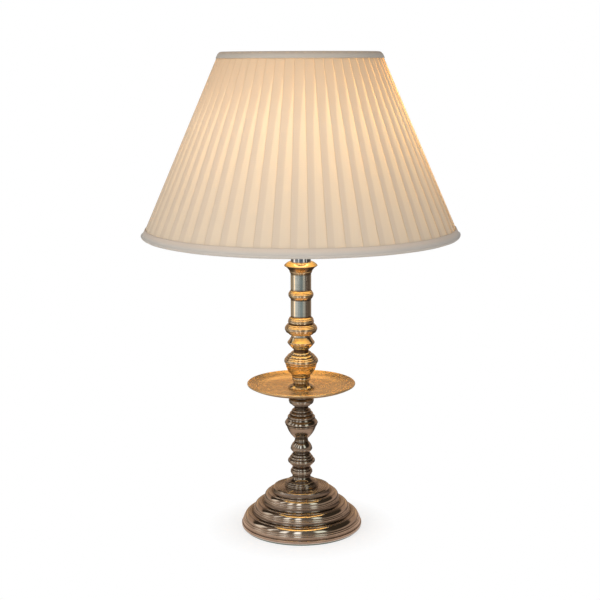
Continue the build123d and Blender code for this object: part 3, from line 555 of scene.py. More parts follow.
def lathe(name, outline, mat, replaced, turns=168, underside_shade_share=0.45, dull=None):
    """Turn a closed outline, given anticlockwise in (radius, height), about the lamp's axis."""
    points = divide(soften(outline, CORNER), LONGEST_SIDE)
    # patina in grooves and painted shade on undersides, one value per point
    patina = patina_and_shade_of(points, underside_shade_share, dull)
    rows = len(points)
    verts, faces, values = [], [], []
    for k in range(turns):
        a = 2 * pi * k / turns
        c, s = cos(a) * MM, sin(a) * MM
        verts += [(r * c, r * s, z * MM) for r, z in points]
        values += patina
    for k in range(turns):
        this, following = k * rows, (k + 1) % turns * rows
        for i in range(rows):
            j = (i + 1) % rows
            faces.append((this + i, following + i, following + j, this + j))
    return add_object(
        name, verts, faces, mat, "lamp", [replaced], attributes={"patina": values}
    )


# ---- The silver-plated candlestick ----

TUBE_HOLE = 5.2
RIM_R, BAIZE_T = 78.6, 1.6
RIM_TOP = 9.6
FOOT = [(76.8, RIM_TOP), (63.0, 24.0), (49.2, 37.6)]
LIP = [(69.6, 19.8), (56.2, 32.8), (44.0, 47.0)]
BASE_TOP = 54.8
SHOULDER = (36.8, 53.2)
SHELF_TURN = 1.5  # the flat shelf behind a lip ends this far outside the foot of the next band
LINED = 0.34  # share of a band's height that has fine lines
SHELF_DULL = 0.2
COLUMN_FOOT_R = 21.8
WALL_T = 3.0
SHOULDER_GROOVES = (34.2, 31.4, 28.6, 25.8)
base_line = [(77.4, BAIZE_T)]
base_line += arc(base_line[-1], (RIM_R, 2.8), 0.3, 4)
base_line += reeds([base_line[-1], (78.4, 6.2)], 2, 0.06)
base_line += [(77.4, 6.6)]
base_line += reeds([base_line[-1], FOOT[0]], 2, 0.06)
dull_spans = [(BAIZE_T, RIM_TOP)]
for number in range(3):
    foot, lip = base_line[-1], LIP[number]
    after = FOOT[number + 1] if number < 2 else SHOULDER
    low = (foot[0] + LINED * (lip[0] - foot[0]) + 0.8, foot[1] + LINED * (lip[1] - foot[1]) + 0.5)
    base_line += reeds([foot, low], 2, 0.14)
    base_line += arc(low, lip, 1.0, 16)
    base_line += arc(base_line[-1], (lip[0] - 0.8, lip[1] + 0.9), 0.22, 5)
    base_line += arc(base_line[-1], (lip[0] - 1.9, lip[1] + 0.85), 0.12, 5)
    base_line += [(after[0] + SHELF_TURN, lip[1] + 0.95)]
    base_line += arc(base_line[-1], after, -0.2, 6)
    dull_spans.append((lip[1] + 0.87, after[1] + 3.0))
base_line += [(36.0, 54.0)]
for groove in SHOULDER_GROOVES:
    base_line += [(groove + 0.6, 54.5), (groove, 54.0), (groove - 0.6, 54.5)]
base_line += [(COLUMN_FOOT_R, BASE_TOP), (TUBE_HOLE, BASE_TOP), (TUBE_HOLE, 50.6), (33.8, 50.6)]
for lip, foot in list(zip(LIP, FOOT))[::-1]:
    base_line += [(lip[0] - WALL_T, lip[1] - WALL_T), (foot[0] - WALL_T, foot[1] - WALL_T)]
base_line += [(74.4, 5.8), (74.4, BAIZE_T)]


def base_dull(_, height):
    """The shelves, ridges and rim are duller than the bands."""
    share = 0.0
    for low, high in dull_spans:
        share = max(share, min(1.0, (height - low) / 0.2, (high - height) / 0.8))
    return SHELF_DULL * share


base = lathe("stepped_base", base_line, silver, "base_foot", turns=256, dull=base_dull)

HOLE_SIDES = 48


def cut_round_holes(obj, holes):
    """Cut round holes along +Y, given as (radius, near y, height), from there out past the rim."""
    cutters = []
    for radius, near, height in holes:
        angles = [2 * pi * k / HOLE_SIDES for k in range(HOLE_SIDES)]
        ring = [(radius * cos(a), radius * sin(a)) for a in angles]
        verts = [(x * MM, y * MM, (height + z) * MM) for y in (near, RIM_R + 4.0) for x, z in ring]
        faces = [tuple(range(HOLE_SIDES)), tuple(range(2 * HOLE_SIDES - 1, HOLE_SIDES - 1, -1))]
        for k in range(HOLE_SIDES):
            m = (k + 1) % HOLE_SIDES
            faces.append((k, k + HOLE_SIDES, m + HOLE_SIDES, m))
        mesh = bpy.data.meshes.new("hole_cutter")
        mesh.from_pydata(verts, [], faces)
        cutter = bpy.data.objects.new("hole_cutter", mesh)
        scene.collection.objects.link(cutter)
        cutters.append(cutter)
        mod = obj.modifiers.new("hole", "BOOLEAN")
        mod.object = cutter
        mod.operation = "DIFFERENCE"
        mod.solver = "EXACT"
    bpy.context.view_layer.update()
    depsgraph = bpy.context.evaluated_depsgraph_get()
    cut = bpy.data.meshes.new_from_object(obj.evaluated_get(depsgraph))
    obj.modifiers.clear()
    obj.data = cut
    for cutter in cutters:
        bpy.data.objects.remove(cutter)


INLET_Z = 12.5
INLET = (4.7, 58.0, INLET_Z)
INLET_SEAT = (6.1, 71.2, INLET_Z)  # where the bush's collar sits
cut_round_holes(base, [INLET, INLET_SEAT])
weigh_normals(base)

# Steps up the column, as climb takes them
LOWER = [(22.6, 2.4, 0.4), (22.0, 0.2), (21.8, 2.0, 0.4), (20.6, 0.5), (17.6, 2.3, 0.5)]
LOWER += [(11.7, 5.2, -0.7), (11.7, 2.0)]
LOWER += [(14.1, 4.9, 0.3, 2), (11.2, 5.1, 0.2, 2), (11.2, 2.2), (17.6, 6.9, 0.1, 3), (11.0, 9.5, 0.1, 3)]
LOWER += [(10.8, 2.8), (13.5, 2.8, 0.4), (14.0, 2.4, 0.4), (8.7, 8.6, 0.9), (9.2, 0.6)]
LOWER += [(8.5, 1.0), (8.5, 2.8), (19.2, 16.6, 1.5), (18.9, 0.4), (20.5, 1.6, 0.5)]
LOWER += [(19.4, 0.4), (19.6, 0.4), (21.4, 1.8, 0.6), (18.6, 4.2, 0.2)]
LOWER += [(17.5, 2.2), (16.8, 2.8, 0.6), (14.8, 1.6), (14.2, 2.6, 0.6), (12.3, 1.4)]
LOWER += [(11.7, 2.4, 0.5), (9.0, 2.6, -0.2), (8.9, 2.4), (15.7, 5.4, 0.3, 2), (16.1, 3.2, 0.4)]
LOWER += [(12.6, 2.4), (12.6, 11.0)]
UPPER = [(17.4, 1.2, 0.2), (17.0, 1.2, 0.2), (14.6, 1.6), (11.0, 1.2, -0.3), (9.8, 1.0)]
UPPER += [(9.8, 3.4, 0.0, 2), (11.8, 1.0, 0.2), (11.8, 3.2, 0.4), (11.4, 0.8)]
UPPER += [(12.6, 3.0, 0.2), (19.7, 13.0, 1.4), (20.2, 2.0, 0.3), (21.3, 1.2), (21.6, 2.4, 0.4)]
UPPER += [(18.2, 4.8, 0.5, 2), (9.6, 7.2, 0.0, 2), (9.6, 2.2), (17.1, 8.4, 0.2), (17.1, 2.2, 0.4)]
UPPER += [(12.6, 6.8, -0.2), (12.6, 2.2)]
SOCKET = [(19.9, 5.6, 0.4, 2), (20.7, 2.6, 0.5), (19.9, 2.4, 0.4), (17.0, 3.4, 0.0, 2)]
SOCKET += [(15.9, 0.5), (15.9, 0.7), (16.4, 0.6), (16.2, 2.8, 0.4), (14.2, 4.0, 0.2, 2)]
SOCKET += [(13.2, 1.0), (13.2, 23.0)]
SOCKET += [(15.1, 2.6, 0.2), (16.0, 2.7, 0.4), (14.9, 3.5, 0.2, 2), (13.4, 2.2, 0.2)]
SOCKET += [(13.2, 1.0), (13.2, 20.6)]
SOCKET += [(13.8, 1.4), (14.2, 2.0, 0.4), (14.9, 0.8), (20.9, 5.8, -0.6), (20.9, 1.2, 0.3)]
SOCKET += [(15.0, 4.2, 0.5)]
CUP = (11.0, 24.8)  # radius and depth of the candle cup
LIP_HEIGHT = 14.0  # the flared lip and its neck, below the mouth
LIP_DULL = 0.42  # its extra patina
LIP_DULL_FROM, LIP_DULL_SPAN = 14.0, 3.0  # the radius where that begins, and what it grows over


def turned(name, foot, steps, node, mat, underside_shade_share, cup=None, dull=None):
    """A turned piece round the tie tube. Returns the height of its top."""
    line = climb(foot, steps)
    top = line[-1][1]
    if cup:
        line += [(cup[0], top), (cup[0], top - cup[1]), (TUBE_HOLE, top - cup[1])]
    else:
        line += [(TUBE_HOLE, top)]
    line += [(TUBE_HOLE, foot[1])]
    weigh_normals(lathe(name, line, mat, node, underside_shade_share=underside_shade_share, dull=dull))
    return top


PAN_T = 2.0
# The lower column wears the painted-shade copy of the silver plate.
pan_under = turned("lower_column", (COLUMN_FOOT_R, BASE_TOP), LOWER, "lower_stem", pan_shaded_silver, 0.2)
pan_floor = pan_under + PAN_T
# The upper column and the socket wear the golden copy, painted lamplight.
socket_foot = turned("upper_column", (16.6, pan_floor), UPPER, "upper_stem", lamplit_silver, 0.1)
mouth = socket_foot + sum(step[1] for step in SOCKET)


def lip_dull(radius, height):
    """The socket's flared lip is duller than its barrels."""
    if height <= mouth - LIP_HEIGHT:
        return 0.0
    return LIP_DULL * max(0.0, min(1.0, (radius - LIP_DULL_FROM) / LIP_DULL_SPAN))


turned("socket_turning", (12.6, socket_foot), SOCKET, "candle_socket", lamplit_silver, 0.1, CUP, lip_dull)

PAN_FLAT_R, PAN_R, PAN_DEPTH = 42.0, 69.8, 6.9
DISH_CURVE = 2.3  # 1 is a plain cone
pan_top = pan_floor + PAN_DEPTH


def dish(low, end, steps=12):
    """The dish from its flat floor at height low out to a (radius, height) end, ever steeper."""
    return [
        (PAN_FLAT_R + (end[0] - PAN_FLAT_R) * n / steps, low + (end[1] - low) * (n / steps) ** DISH_CURVE)
        for n in range(steps + 1)
    ]


pan_line = [(TUBE_HOLE, pan_under)] + dish(pan_under, (PAN_R - 0.5, pan_top - 2.2))
pan_line += arc(pan_line[-1], (PAN_R - 0.7, pan_top), 0.55, 6)
pan_line += arc(pan_line[-1], (PAN_R - 2.2, pan_top - 0.7), 0.3, 6)
pan_line += dish(pan_floor, pan_line[-1])[-2::-1]
for ring in (27.5, 25.0):
    pan_line += [(ring + 0.5, pan_floor), (ring, pan_floor - 0.12), (ring - 0.5, pan_floor)]
pan_line += [(TUBE_HOLE, pan_floor)]
weigh_normals(lathe("pan", pan_line, lamplit_pan_silver, "drip_pan", turns=256))

# ---- Fittings that keep their CAD shape ----

ARMS = [f"arm_{n}" for n in (1, 2, 3)]
STRUTS = [f"strut_{n}" for n in range(1, 7)]


def dress(label, mat):
    nodes[label].data.materials.clear()
    nodes[label].data.materials.append(mat)


for mat, labels in (
    (nickel, ["holder_plug"]),
    (nickel_dull, ["holder_cap", "holder_sleeve", "shade_ring_lower", "shade_ring_upper"]),
    (nickel_dull, ["gimbal_ring", "gimbal_pins", "shade_hoop"]),
    (dark_plastic, ["switch_tips", "switch_bar", "switch_slider", "cord_bush"]),
    (baize, ["base_baize"]),
    (iron, ["base_weight"]),
    (zinc, ["foot_washer", "foot_nut", "lock_nut", "tie_tube", "terminal_screws", "bulb_tip"]),
    (brass, ["thread_shell", "centre_contact", "terminals", "switch_plate"]),
    (porcelain, ["holder_core"]),
    (black_glass, ["bulb_insulator"]),
    (aluminium, ["bulb_cap"]),
    (wire, ["top_ring", "bottom_ring", *ARMS, *STRUTS]),
):
    for label in labels:
        dress(label, mat)

# ---- Bulb ----

glass, tree, shader, _ = new_material("pearl_bulb_glass")
shader.inputs["Base Color"].default_value = (0.95, 0.90, 0.80, 1.0)
shader.inputs["Roughness"].default_value = 0.35
shader.inputs["Emission Strength"].default_value = 1.1
frost = noise(tree, object_coords(tree), 700.0, 3.0)
link(tree, mix_colour(tree, frost, (1.0, 0.82, 0.55), (1.0, 0.90, 0.70)), shader.inputs["Emission Color"])
bump(tree, shader, frost, 0.1, 0.0002)
dress("bulb_glass", glass)
nodes["bulb_glass"].visible_shadow = False

# ---- Shade ----

SHADE_TOP_R, SHADE_BOTTOM_R, SHADE_BOTTOM, SHADE_TOP = 100.0, 200.0, 384.0, 613.0
SLOPE = (SHADE_BOTTOM_R - SHADE_TOP_R) / (SHADE_TOP - SHADE_BOTTOM)
SLANT = hypot(1, SLOPE)
PLEATS = 58
PITCH = 2 * pi / PLEATS
COVER_LOW, COVER_HIGH = 385.6, 611.9
FOLD_W = 8.0  # cloth folded under at each pleat
FOLD_MORE, WIDER_FROM, WIDER_SPAN = 4.0, 480.0, 105.0  # and how it widens near the top
EDGE_BLUR = 0.8  # half of what the edge of the cloth underneath is blurred over, seen through the top layer


def shade_r(z):
    return SHADE_BOTTOM_R - SLOPE * (z - SHADE_BOTTOM)


def overlap(z):
    """Width of cloth folded under at each pleat, in millimetres: even below, wider near the top."""
    return FOLD_W + FOLD_MORE * (max(0.0, z - WIDER_FROM) / WIDER_SPAN) ** 2


def pleat_section(z, pleat):
    """A pleat at height z: (angle, depth below the cone, share of single cloth) points along the cloth."""
    r = shade_r(z)
    uneven = 1 + 0.07 * sin(2.4 * pleat) + 0.04 * sin(5.3 * pleat + 1.0)
    under = min(overlap(z) * uneven / r, PITCH * 0.995)
    soft = EDGE_BLUR / r
    edge = min(under + soft, PITCH * 0.99)
    clear = 0.4 + 0.6 * ((edge - under + soft) / (2 * soft))
    shown = [(0.0, 0.0), (0.35 / r, 0.0), (1.2 / r, 0.22), (under * 0.5, 0.30), (under - soft, 0.40)]
    shown += [(edge, clear), ((edge + PITCH) / 2, clear), (PITCH * 0.9985, clear)]
    section = [(angle, 0.05 + 1.25 * (angle / PITCH) ** 0.8, single) for angle, single in shown]
    for share in (0.3, 0.65, 1.0):
        section.append((PITCH + under * share, 1.35 + 0.55 * share, 0.0))
    for share in (0.98, 0.6, 0.2, 0.0):
        section.append((PITCH + under * share, 0.5 + 1.1 * share, 0.0))
    return section


TOP_COLUMNS = 8  # the points of a pleat's section that show; the others are folded under it
FIRST_FOLD = radians(-90.0) + 0.42 * PITCH
LEVELS = 40
levels = [COVER_LOW + (COVER_HIGH - COVER_LOW) * n / LEVELS for n in range(LEVELS + 1)]
columns = len(pleat_section(levels[0], 0))
row = columns * PLEATS
verts, singles = [], []
along = []  # how far along the cloth each vertex lies, in metres
for z in levels:
    length = 0.0
    last = None
    for k in range(PLEATS):
        for angle, depth, single in pleat_section(z, k):
            a = FIRST_FOLD + k * PITCH + angle
            r = shade_r(z) - depth
            p = (r * cos(a) * MM, r * sin(a) * MM, z * MM)
            if last:
                length += hypot(p[0] - last[0], p[1] - last[1])
            last = p
            verts.append(p)
            singles.append(single)
            along.append(length)
faces, uvs = [], []
for j in range(LEVELS):
    for i in range(row):
        q = (i + 1) % row
        a, b, c, d = j * row + i, j * row + q, (j + 1) * row + q, (j + 1) * row + i
        faces.append((a, b, c, d))
        for v, level in ((a, j), (b, j), (c, j + 1), (d, j + 1)):
            u = along[v] if q or v in (a, d) else along[v + row - 1]
            uvs.append((u, levels[level] * SLANT * MM))
cover = add_object(
    "pleated_cover",
    verts,
    faces,
    cover_cloth,
    "shade",
    ["shade_cover"],
    uv=uvs,
    attributes={"single": singles},
)
cover.data.materials.append(folded_cloth)
under_slots = [int(i % row % columns >= TOP_COLUMNS - 1) for i in range(len(faces))]
cover.data.polygons.foreach_set("material_index", under_slots)

LINING_INSET, LINING_LOW, LINING_HIGH = 6.4, 390.0, 607.4
LINING_LEVELS = 12
PRESSED_IN = 0.5  # how far the struts press the lining in
FIRST_STRUT = radians(-102)


def round_sheet(name, profile, mat, replaced, turns, sway):
    """A band or cone of cloth with no wall, turned from an open line of (radius, height) points.

    sway gives how far it stands out at an angle and a share of its line. Returns the object, the cloth's
    width and its largest radius.
    """
    verts, faces, uvs = [], [], []
    rows = len(profile)
    run = [0.0]
    for p, q in zip(profile, profile[1:]):
        run.append(run[-1] + hypot(q[0] - p[0], q[1] - p[1]) * MM)
    for k in range(turns):
        a = 2 * pi * k / turns
        for i, (r, z) in enumerate(profile):
            r += sway(a, i / (rows - 1))
            verts.append((r * cos(a) * MM, r * sin(a) * MM, z * MM))
    widest = max(p[0] for p in profile) * MM
    for k in range(turns):
        for i in range(rows - 1):
            m = (k + 1) % turns
            faces.append((k * rows + i, m * rows + i, m * rows + i + 1, k * rows + i + 1))
            for column, level in ((k, i), (k + 1, i), (k + 1, i + 1), (k, i + 1)):
                uvs.append((2 * pi * column / turns * widest, run[level]))
    return add_object(name, verts, faces, mat, "shade", [replaced], uv=uvs), run[-1], widest


def pressed_in(angle, share):
    return -PRESSED_IN * sin(pi * share) * (1 - abs(sin(3 * (angle - FIRST_STRUT))))


lining_line = []
for n in range(LINING_LEVELS + 1):
    z = LINING_LOW + (LINING_HIGH - LINING_LOW) * n / LINING_LEVELS
    lining_line.append((shade_r(z) - LINING_INSET, z))
lining, lining_slant, lining_r = round_sheet(
    "smooth_lining", lining_line, lining_cloth, "shade_lining", 180, pressed_in
)
lining.visible_shadow = False
for label in (*STRUTS, *ARMS):
    nodes[label].visible_shadow = False


def pucker(angle, share):
    """How far a band bulges at an angle, in millimetres."""
    return 0.16 * sin(17 * angle + 1.0 + share) + 0.12 * sin(31 * angle + 2.0) * sin(pi * share)


def band(name, line, mat, node):
    made, width, radius = round_sheet(name, line, mat, node, 240, pucker)


BAND_INNER, BAND_INNER_H = 7.3, 8.8  # how far inside the cone a band's inner half lies, and its height
BAND_RAISED = 0.9  # how far its outer half stands out at the roll's other end


def band_line(edge, up, proud, height, roll):
    """A folded band over the shade's edge: along the outside, round the roll, and along the inside.

    up is 1 from the bottom edge and -1 from the top one. proud is how far the roll stands out.
    """
    line = [(shade_r(edge + up * height) + 0.25, edge + up * height)]
    line.append((shade_r(edge + up * (height - 0.3)) + 0.75, edge + up * (height - 0.3)))
    steps = 5
    for n in range(steps + 1):
        z = edge + up * (height - 1.2 - (height - 1.2 - roll) * n / steps)
        line.append((shade_r(z) + BAND_RAISED + (proud - BAND_RAISED) * (n / steps) ** 1.5, z))
    half = (proud + BAND_INNER) / 2
    middle = shade_r(edge) + proud - half
    for n in range(1, 9):
        t = pi / 2 * n / 8
        line.append((middle + half * cos(t), edge + up * roll * (1 - 0.98 * sin(t))))
    for n in range(1, 7):
        t = pi / 2 * n / 6
        line.append((middle - half * sin(t), edge + up * roll * (1.02 - cos(t))))
    line.append((shade_r(edge + up * BAND_INNER_H) - BAND_INNER, edge + up * BAND_INNER_H))
    return line


band("bottom_band", band_line(SHADE_BOTTOM, 1, 1.05, 11.6, 4.4), low_band, "bottom_trim")
band("top_band", band_line(SHADE_TOP, -1, 0.55, 8.2, 2.6), top_band, "top_trim")

# ---- Camera ----

LENS, SENSOR_W = 77.4, 36.0
CAMERA_AT = (-0.0012, -1.620, 0.6015)
LOOK_DOWN, CAMERA_ROLL = 10.5, -0.2  # degrees
camera = bpy.data.objects.new("camera", bpy.data.cameras.new("camera"))
camera.data.sensor_width = SENSOR_W
camera.data.lens = LENS
camera.location = CAMERA_AT
tilted = Matrix.Rotation(radians(90 - LOOK_DOWN), 3, "X")
camera.rotation_euler = (tilted @ Matrix.Rotation(radians(CAMERA_ROLL), 3, "Z")).to_euler()
scene.collection.objects.link(camera)
scene.camera = camera

# ---- Floor, studio and light ----


def stage_object(name, verts, faces, mat):
    mesh = bpy.data.meshes.new(name)
    mesh.from_pydata(verts, [], faces)
    mesh.materials.append(mat)
    obj = bpy.data.objects.new(name, mesh)
    scene.collection.objects.link(obj)
    return obj


def seen_rays(tree):
    """1 for rays from the camera, mirrors and glass, which see the background."""
    path = add_node(tree, "ShaderNodeLightPath")
    some = maths(tree, "MAXIMUM", path.outputs["Is Camera Ray"], path.outputs["Is Glossy Ray"])
    return maths(tree, "MAXIMUM", some, path.outputs["Is Transmission Ray"])


ROOM, ROOM_SIDES = 6.0, 64
BY_THE_BASE = (0.078, 0.125)  # the floor turns to plain white over this distance from the lamp's axis

floor_mat, tree, shader, out = new_material("pale_floor")
shader.inputs["Base Color"].default_value = (0.90, 0.90, 0.90, 1.0)
shader.inputs["Roughness"].default_value = 0.9
shader.inputs["Specular IOR Level"].default_value = 0.0
white = add_node(tree, "ShaderNodeEmission", {"Color": (1, 1, 1, 1), "Strength": 1.0})
distance = add_node(tree, "ShaderNodeVectorMath", operation="LENGTH")
link(tree, object_coords(tree), distance.inputs[0])
far = remap(tree, distance.outputs["Value"], *BY_THE_BASE, 0.72, 1.0)
blend = add_node(tree, "ShaderNodeMixShader")
link(tree, maths(tree, "MULTIPLY", far, seen_rays(tree)), blend.inputs[0])
link(tree, shader.outputs[0], blend.inputs[1])
link(tree, white.outputs[0], blend.inputs[2])
link(tree, blend.outputs[0], out.inputs["Surface"])
room_angles = [2 * pi * k / ROOM_SIDES for k in range(ROOM_SIDES)]
floor_edge = [(ROOM * cos(a), ROOM * sin(a), 0.0) for a in room_angles]
stage_object("floor", floor_edge, [tuple(range(ROOM_SIDES))], floor_mat)

world = bpy.data.worlds.new("studio")
scene.world = world
world.use_nodes = True
tree = world.node_tree
tree.nodes.clear()
world_out = add_node(tree, "ShaderNodeOutputWorld")
room_light = add_node(tree, "ShaderNodeBackground", {"Color": (0.93, 0.96, 1.0, 1.0), "Strength": 0.50})
backdrop = add_node(tree, "ShaderNodeBackground", {"Color": (1, 1, 1, 1), "Strength": 1.0})
mixed = add_node(tree, "ShaderNodeMixShader")
link(tree, seen_rays(tree), mixed.inputs[0])
link(tree, room_light.outputs[0], mixed.inputs[1])
link(tree, backdrop.outputs[0], mixed.inputs[2])
link(tree, mixed.outputs[0], world_out.inputs["Surface"])

# Cards round the set, which only mirrors see, shape what the polished metal shows. Each list has a
# few broad (azimuth, colour) stops seen from the lamp. Azimuth 0 is towards the camera and it grows to
# the right.
FAR_FLOOR = [
    (-180, (0.22, 0.17, 0.12)),
    (-100, (0.36, 0.32, 0.28)),
    (-60, (0.82, 0.92, 1.08)),
    (-30, (0.45, 0.56, 0.72)),
    (10, (0.22, 0.32, 0.42)),
    (35, (0.50, 0.56, 0.64)),
    (60, (0.13, 0.11, 0.11)),
    (110, (0.10, 0.08, 0.07)),
    (140, (0.30, 0.25, 0.23)),
    (180, (0.22, 0.17, 0.12)),
]
NEAR_FLOOR = [
    (-180, (0.10, 0.07, 0.05)),
    (-130, (0.12, 0.09, 0.06)),
    (-80, (0.55, 0.42, 0.28)),
    (0, (0.40, 0.28, 0.16)),
    (70, (0.20, 0.14, 0.09)),
    (120, (0.10, 0.07, 0.05)),
    (180, (0.10, 0.07, 0.05)),
]
WALLS = [
    (-180, (0.80, 0.50, 0.25)),
    (-135, (0.46, 0.33, 0.25)),
    (-60, (0.52, 0.39, 0.30)),
    (0, (0.42, 0.31, 0.24)),
    (60, (0.32, 0.24, 0.18)),
    (135, (0.42, 0.29, 0.22)),
    (180, (0.80, 0.50, 0.25)),
]
CEILING = [
    (-180, (0.35, 0.23, 0.15)),
    (-140, (0.04, 0.03, 0.02)),
    (-116, (0.04, 0.03, 0.02)),
    (-100, (0.22, 0.16, 0.12)),
    (0, (0.16, 0.14, 0.12)),
    (50, (0.12, 0.10, 0.08)),
    (70, (0.04, 0.03, 0.02)),
    (140, (0.04, 0.03, 0.02)),
    (180, (0.35, 0.23, 0.15)),
]
BY_THE_FOOT = (0.74, 0.53, 0.41)  # the floor right by the lamp's foot
BACK_WALL = (0.40, 0.27, 0.19)  # high on the wall behind the lamp
ZENITH = (0.03, 0.023, 0.018)
# Azimuth, elevation, half width, half height and colour
OVERHEAD_LAMPS = [
    (-100, 31, 10, 14, (0.95, 0.84, 0.72)),
    (-70, 39, 4, 17, (1.25, 1.18, 1.08)),
    (-39, 40, 7, 17, (1.40, 1.37, 1.28)),
    (-9, 40, 7, 18, (1.55, 1.55, 1.50)),
    (42, 41, 11, 15, (1.10, 1.16, 1.02)),
    (180, 40, 10, 9, (1.70, 1.10, 0.52)),
]
# Bright strips on the floor cards: painted patches of light on the floor, which only the metal mirrors.
# Azimuth, half width, near and far distance and colour
FLOOR_STRIPS = [
    (-77, 6, 0.9, 3.4, (1.45, 1.25, 1.08)),
    (-33, 5, 0.18, 0.85, (1.50, 1.42, 1.28)),
    (-5, 4, 0.18, 0.85, (1.20, 1.15, 1.05)),
    (35, 7, 0.18, 0.85, (1.50, 1.44, 1.32)),
]
BARS, BAR_HALF_WIDTH = (-54, -32, -10, 12, 34, 56), 5.5  # faint dark bars out in front
GLEAMS = ((-82, 10), (-24, 5), (34, 8), (68, 4))  # azimuth and half width of gleams in the dark further out
FAR_DARK, GLEAM = 0.05, 1.3  # how bright that dark is, and how much a gleam adds
# Distances or degrees over which one part of the cards gives way to the next
FOOT_ENDS, NEAR_ENDS, BARS_BEGIN, DARK_BEGINS = (0.14, 0.22), (0.75, 1.1), (0.9, 1.1), (2.15, 2.35)
SIDE_ENDS, WALL_BEGINS, LOW_WALL_ENDS, ZENITH_BEGINS = (110, 140), (0, 4), (13, 18), (68, 74)
WALL_TOP, BACK_WALL_RISE, WALL_TOP_SPAN = 16, 14, 7
STRIP_SOFT = 0.05
BARS_GAIN, BARS_LOSS = 0.24, 0.43  # brightness that the floor out there gains, and loses again in a bar
FADE = 4  # degrees


def between(stops, azimuth):
    """Colour at an azimuth, blended evenly between a list's stops."""
    for (a, low), (b, high) in zip(stops, stops[1:]):
        if azimuth <= b:
            t = (azimuth - a) / (b - a)
            return tuple(low[k] + (high[k] - low[k]) * t for k in range(3))
    return stops[-1][1]


def smooth(value, low, high):
    """0 up to low, 1 from high on."""
    t = max(0.0, min(1.0, (value - low) / (high - low)))
    return t * t * (3 - 2 * t)


def mixed_colour(a, b, t):
    return tuple(a[k] + (b[k] - a[k]) * t for k in range(3))


def within(value, centre, half):
    """1 inside a span of degrees about a centre, fading to 0 at its ends."""
    aside = abs((value - centre + 180) % 360 - 180)
    return 1 - smooth(aside, half - FADE / 2, half + FADE / 2)


def wall_colour(azimuth, elevation):
    behind = smooth(abs(azimuth), *SIDE_ENDS)
    colour = mixed_colour(between(WALLS, azimuth), BACK_WALL, behind * smooth(elevation, *LOW_WALL_ENDS))
    colour = mixed_colour(between(FAR_FLOOR, azimuth), colour, smooth(elevation, *WALL_BEGINS))
    top = WALL_TOP + BACK_WALL_RISE * behind
    colour = mixed_colour(colour, between(CEILING, azimuth), smooth(elevation, top, top + WALL_TOP_SPAN))
    colour = mixed_colour(colour, ZENITH, smooth(elevation, *ZENITH_BEGINS))
    for centre, height, half_width, half_height, glow in OVERHEAD_LAMPS:
        inside = within(azimuth, centre, half_width) * within(elevation, height, half_height)
        colour = mixed_colour(colour, glow, inside)
    return colour


def floor_colour(azimuth, distance):
    colour = mixed_colour(BY_THE_FOOT, between(NEAR_FLOOR, azimuth), smooth(distance, *FOOT_ENDS))
    colour = mixed_colour(colour, between(FAR_FLOOR, azimuth), smooth(distance, *NEAR_ENDS))
    for centre, half_width, near, far, glow in FLOOR_STRIPS:
        lit = smooth(distance, near, near + STRIP_SOFT) * (1 - smooth(distance, far, far + STRIP_SOFT))
        colour = mixed_colour(colour, glow, within(azimuth, centre, half_width) * lit)
    dark = max(within(azimuth, centre, BAR_HALF_WIDTH) for centre in BARS)
    barred = 1 + smooth(distance, *BARS_BEGIN) * (BARS_GAIN - BARS_LOSS * dark)
    shine = max(within(azimuth, centre, half_width) for centre, half_width in GLEAMS)
    further = smooth(distance, *DARK_BEGINS)
    return tuple(c * barred * (1 - further) + further * (FAR_DARK + GLEAM * shine) for c in colour)


CARD_R = 3.4
CARD_HEIGHT = 0.002  # of the cards on the floor
CARD_STEP = 1.5  # degrees
COLUMNS = int(360 / CARD_STEP)
CARD_DISTANCES = [0.081, 0.12, 0.18, 0.23, 0.4, 0.6, 0.75, 0.85, 0.92, 1.0, 1.1]
CARD_DISTANCES += [1.5, 2.15, 2.25, 2.35, 2.9, CARD_R]
rings = []
for distance in CARD_DISTANCES:
    rings.append((distance, CARD_HEIGHT, lambda azimuth, d=distance: floor_colour(azimuth, d)))
for n in range(1, int(90 / CARD_STEP)):
    tilt = n * CARD_STEP
    e = radians(tilt)
    rings.append((CARD_R * cos(e), CARD_R * sin(e), lambda azimuth, tilt=tilt: wall_colour(azimuth, tilt)))
card_verts, card_faces, card_tints = [], [], []
for radius, height, colour_at in rings:
    for col in range(COLUMNS):
        azimuth = -180 + col * CARD_STEP
        a = radians(azimuth)
        card_verts.append((radius * sin(a), -radius * cos(a), height))
        card_tints.append(colour_at(azimuth))
for n in range(len(rings) - 1):
    low, high = n * COLUMNS, (n + 1) * COLUMNS
    for col in range(COLUMNS):
        after = (col + 1) % COLUMNS
        card_faces.append((low + col, low + after, high + after, high + col))
card_mat, tree, shader, out = new_material("studio_cards")
glow = add_node(tree, "ShaderNodeEmission", {"Strength": 1.0})
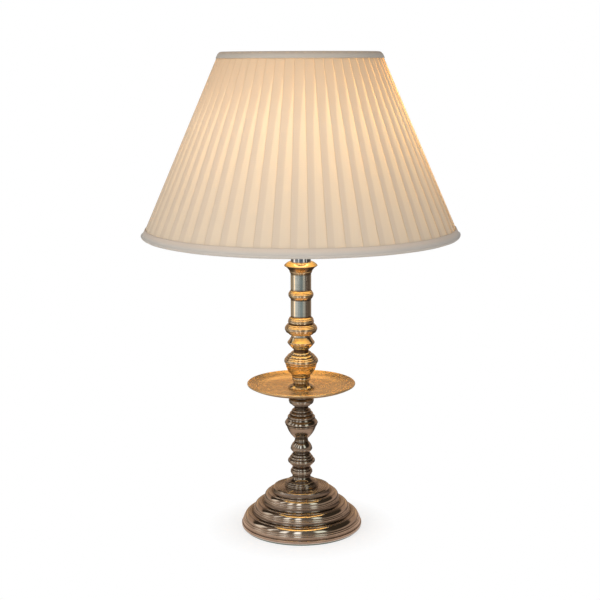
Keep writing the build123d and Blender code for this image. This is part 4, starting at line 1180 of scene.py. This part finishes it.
link(tree, attribute(tree, "tint", "Color"), glow.inputs["Color"])
link(tree, glow.outputs[0], out.inputs["Surface"])
cards = stage_object("studio_cards", card_verts, card_faces, card_mat)
tint_layer = cards.data.attributes.new("tint", "FLOAT_COLOR", "POINT")
tint_layer.data.foreach_set("color", [c for tint in card_tints for c in (*tint, 1.0)])
cards.visible_camera = False
cards.visible_diffuse = False
cards.visible_transmission = False
cards.visible_shadow = False

AIM = (0.0, 0.0, 0.35)  # what the softboxes point at


def area_light(name, azimuth, elevation, far_away, size, power, colour):
    lamp = bpy.data.lights.new(name, "AREA")
    lamp.shape = "RECTANGLE"
    lamp.size, lamp.size_y = size
    lamp.energy = power
    lamp.color = colour
    obj = bpy.data.objects.new(name, lamp)
    a, e = radians(azimuth), radians(elevation)
    way = (sin(a) * cos(e), -cos(a) * cos(e), sin(e))
    obj.location = [AIM[i] + way[i] * far_away for i in range(3)]
    obj.rotation_euler = (radians(90 - elevation), 0.0, a)
    obj.visible_glossy = False
    obj.visible_camera = False
    scene.collection.objects.link(obj)


area_light("softbox_left", -36, 12, 2.4, (1.4, 1.2), 26.0, (1.0, 0.99, 0.97))
area_light("softbox_right", 26, 10, 2.4, (1.2, 1.2), 15.5, (1.0, 0.99, 0.98))
area_light("softbox_top", -10, 62, 2.3, (1.4, 0.8), 4.0, (1.0, 0.99, 0.97))


def bulb_light(name, height, radius, power, colour):
    lamp = bpy.data.lights.new(name, "POINT")
    lamp.energy = power
    lamp.color = colour
    lamp.shadow_soft_size = radius
    obj = bpy.data.objects.new(name, lamp)
    obj.location = (0.0, 0.0, height)
    scene.collection.objects.link(obj)


bulb_light("lit_bulb", 0.503, 0.026, 2.2, (1.0, 0.68, 0.35))
bulb_light("light_thrown_back_by_the_lining", 0.435, 0.05, 0.5, (1.0, 0.62, 0.32))

scene.view_settings.view_transform = "Standard"
scene.cycles.use_denoising = True
scene.cycles.max_bounces = 10
scene.cycles.diffuse_bounces = 5
scene.cycles.transmission_bounces = 6
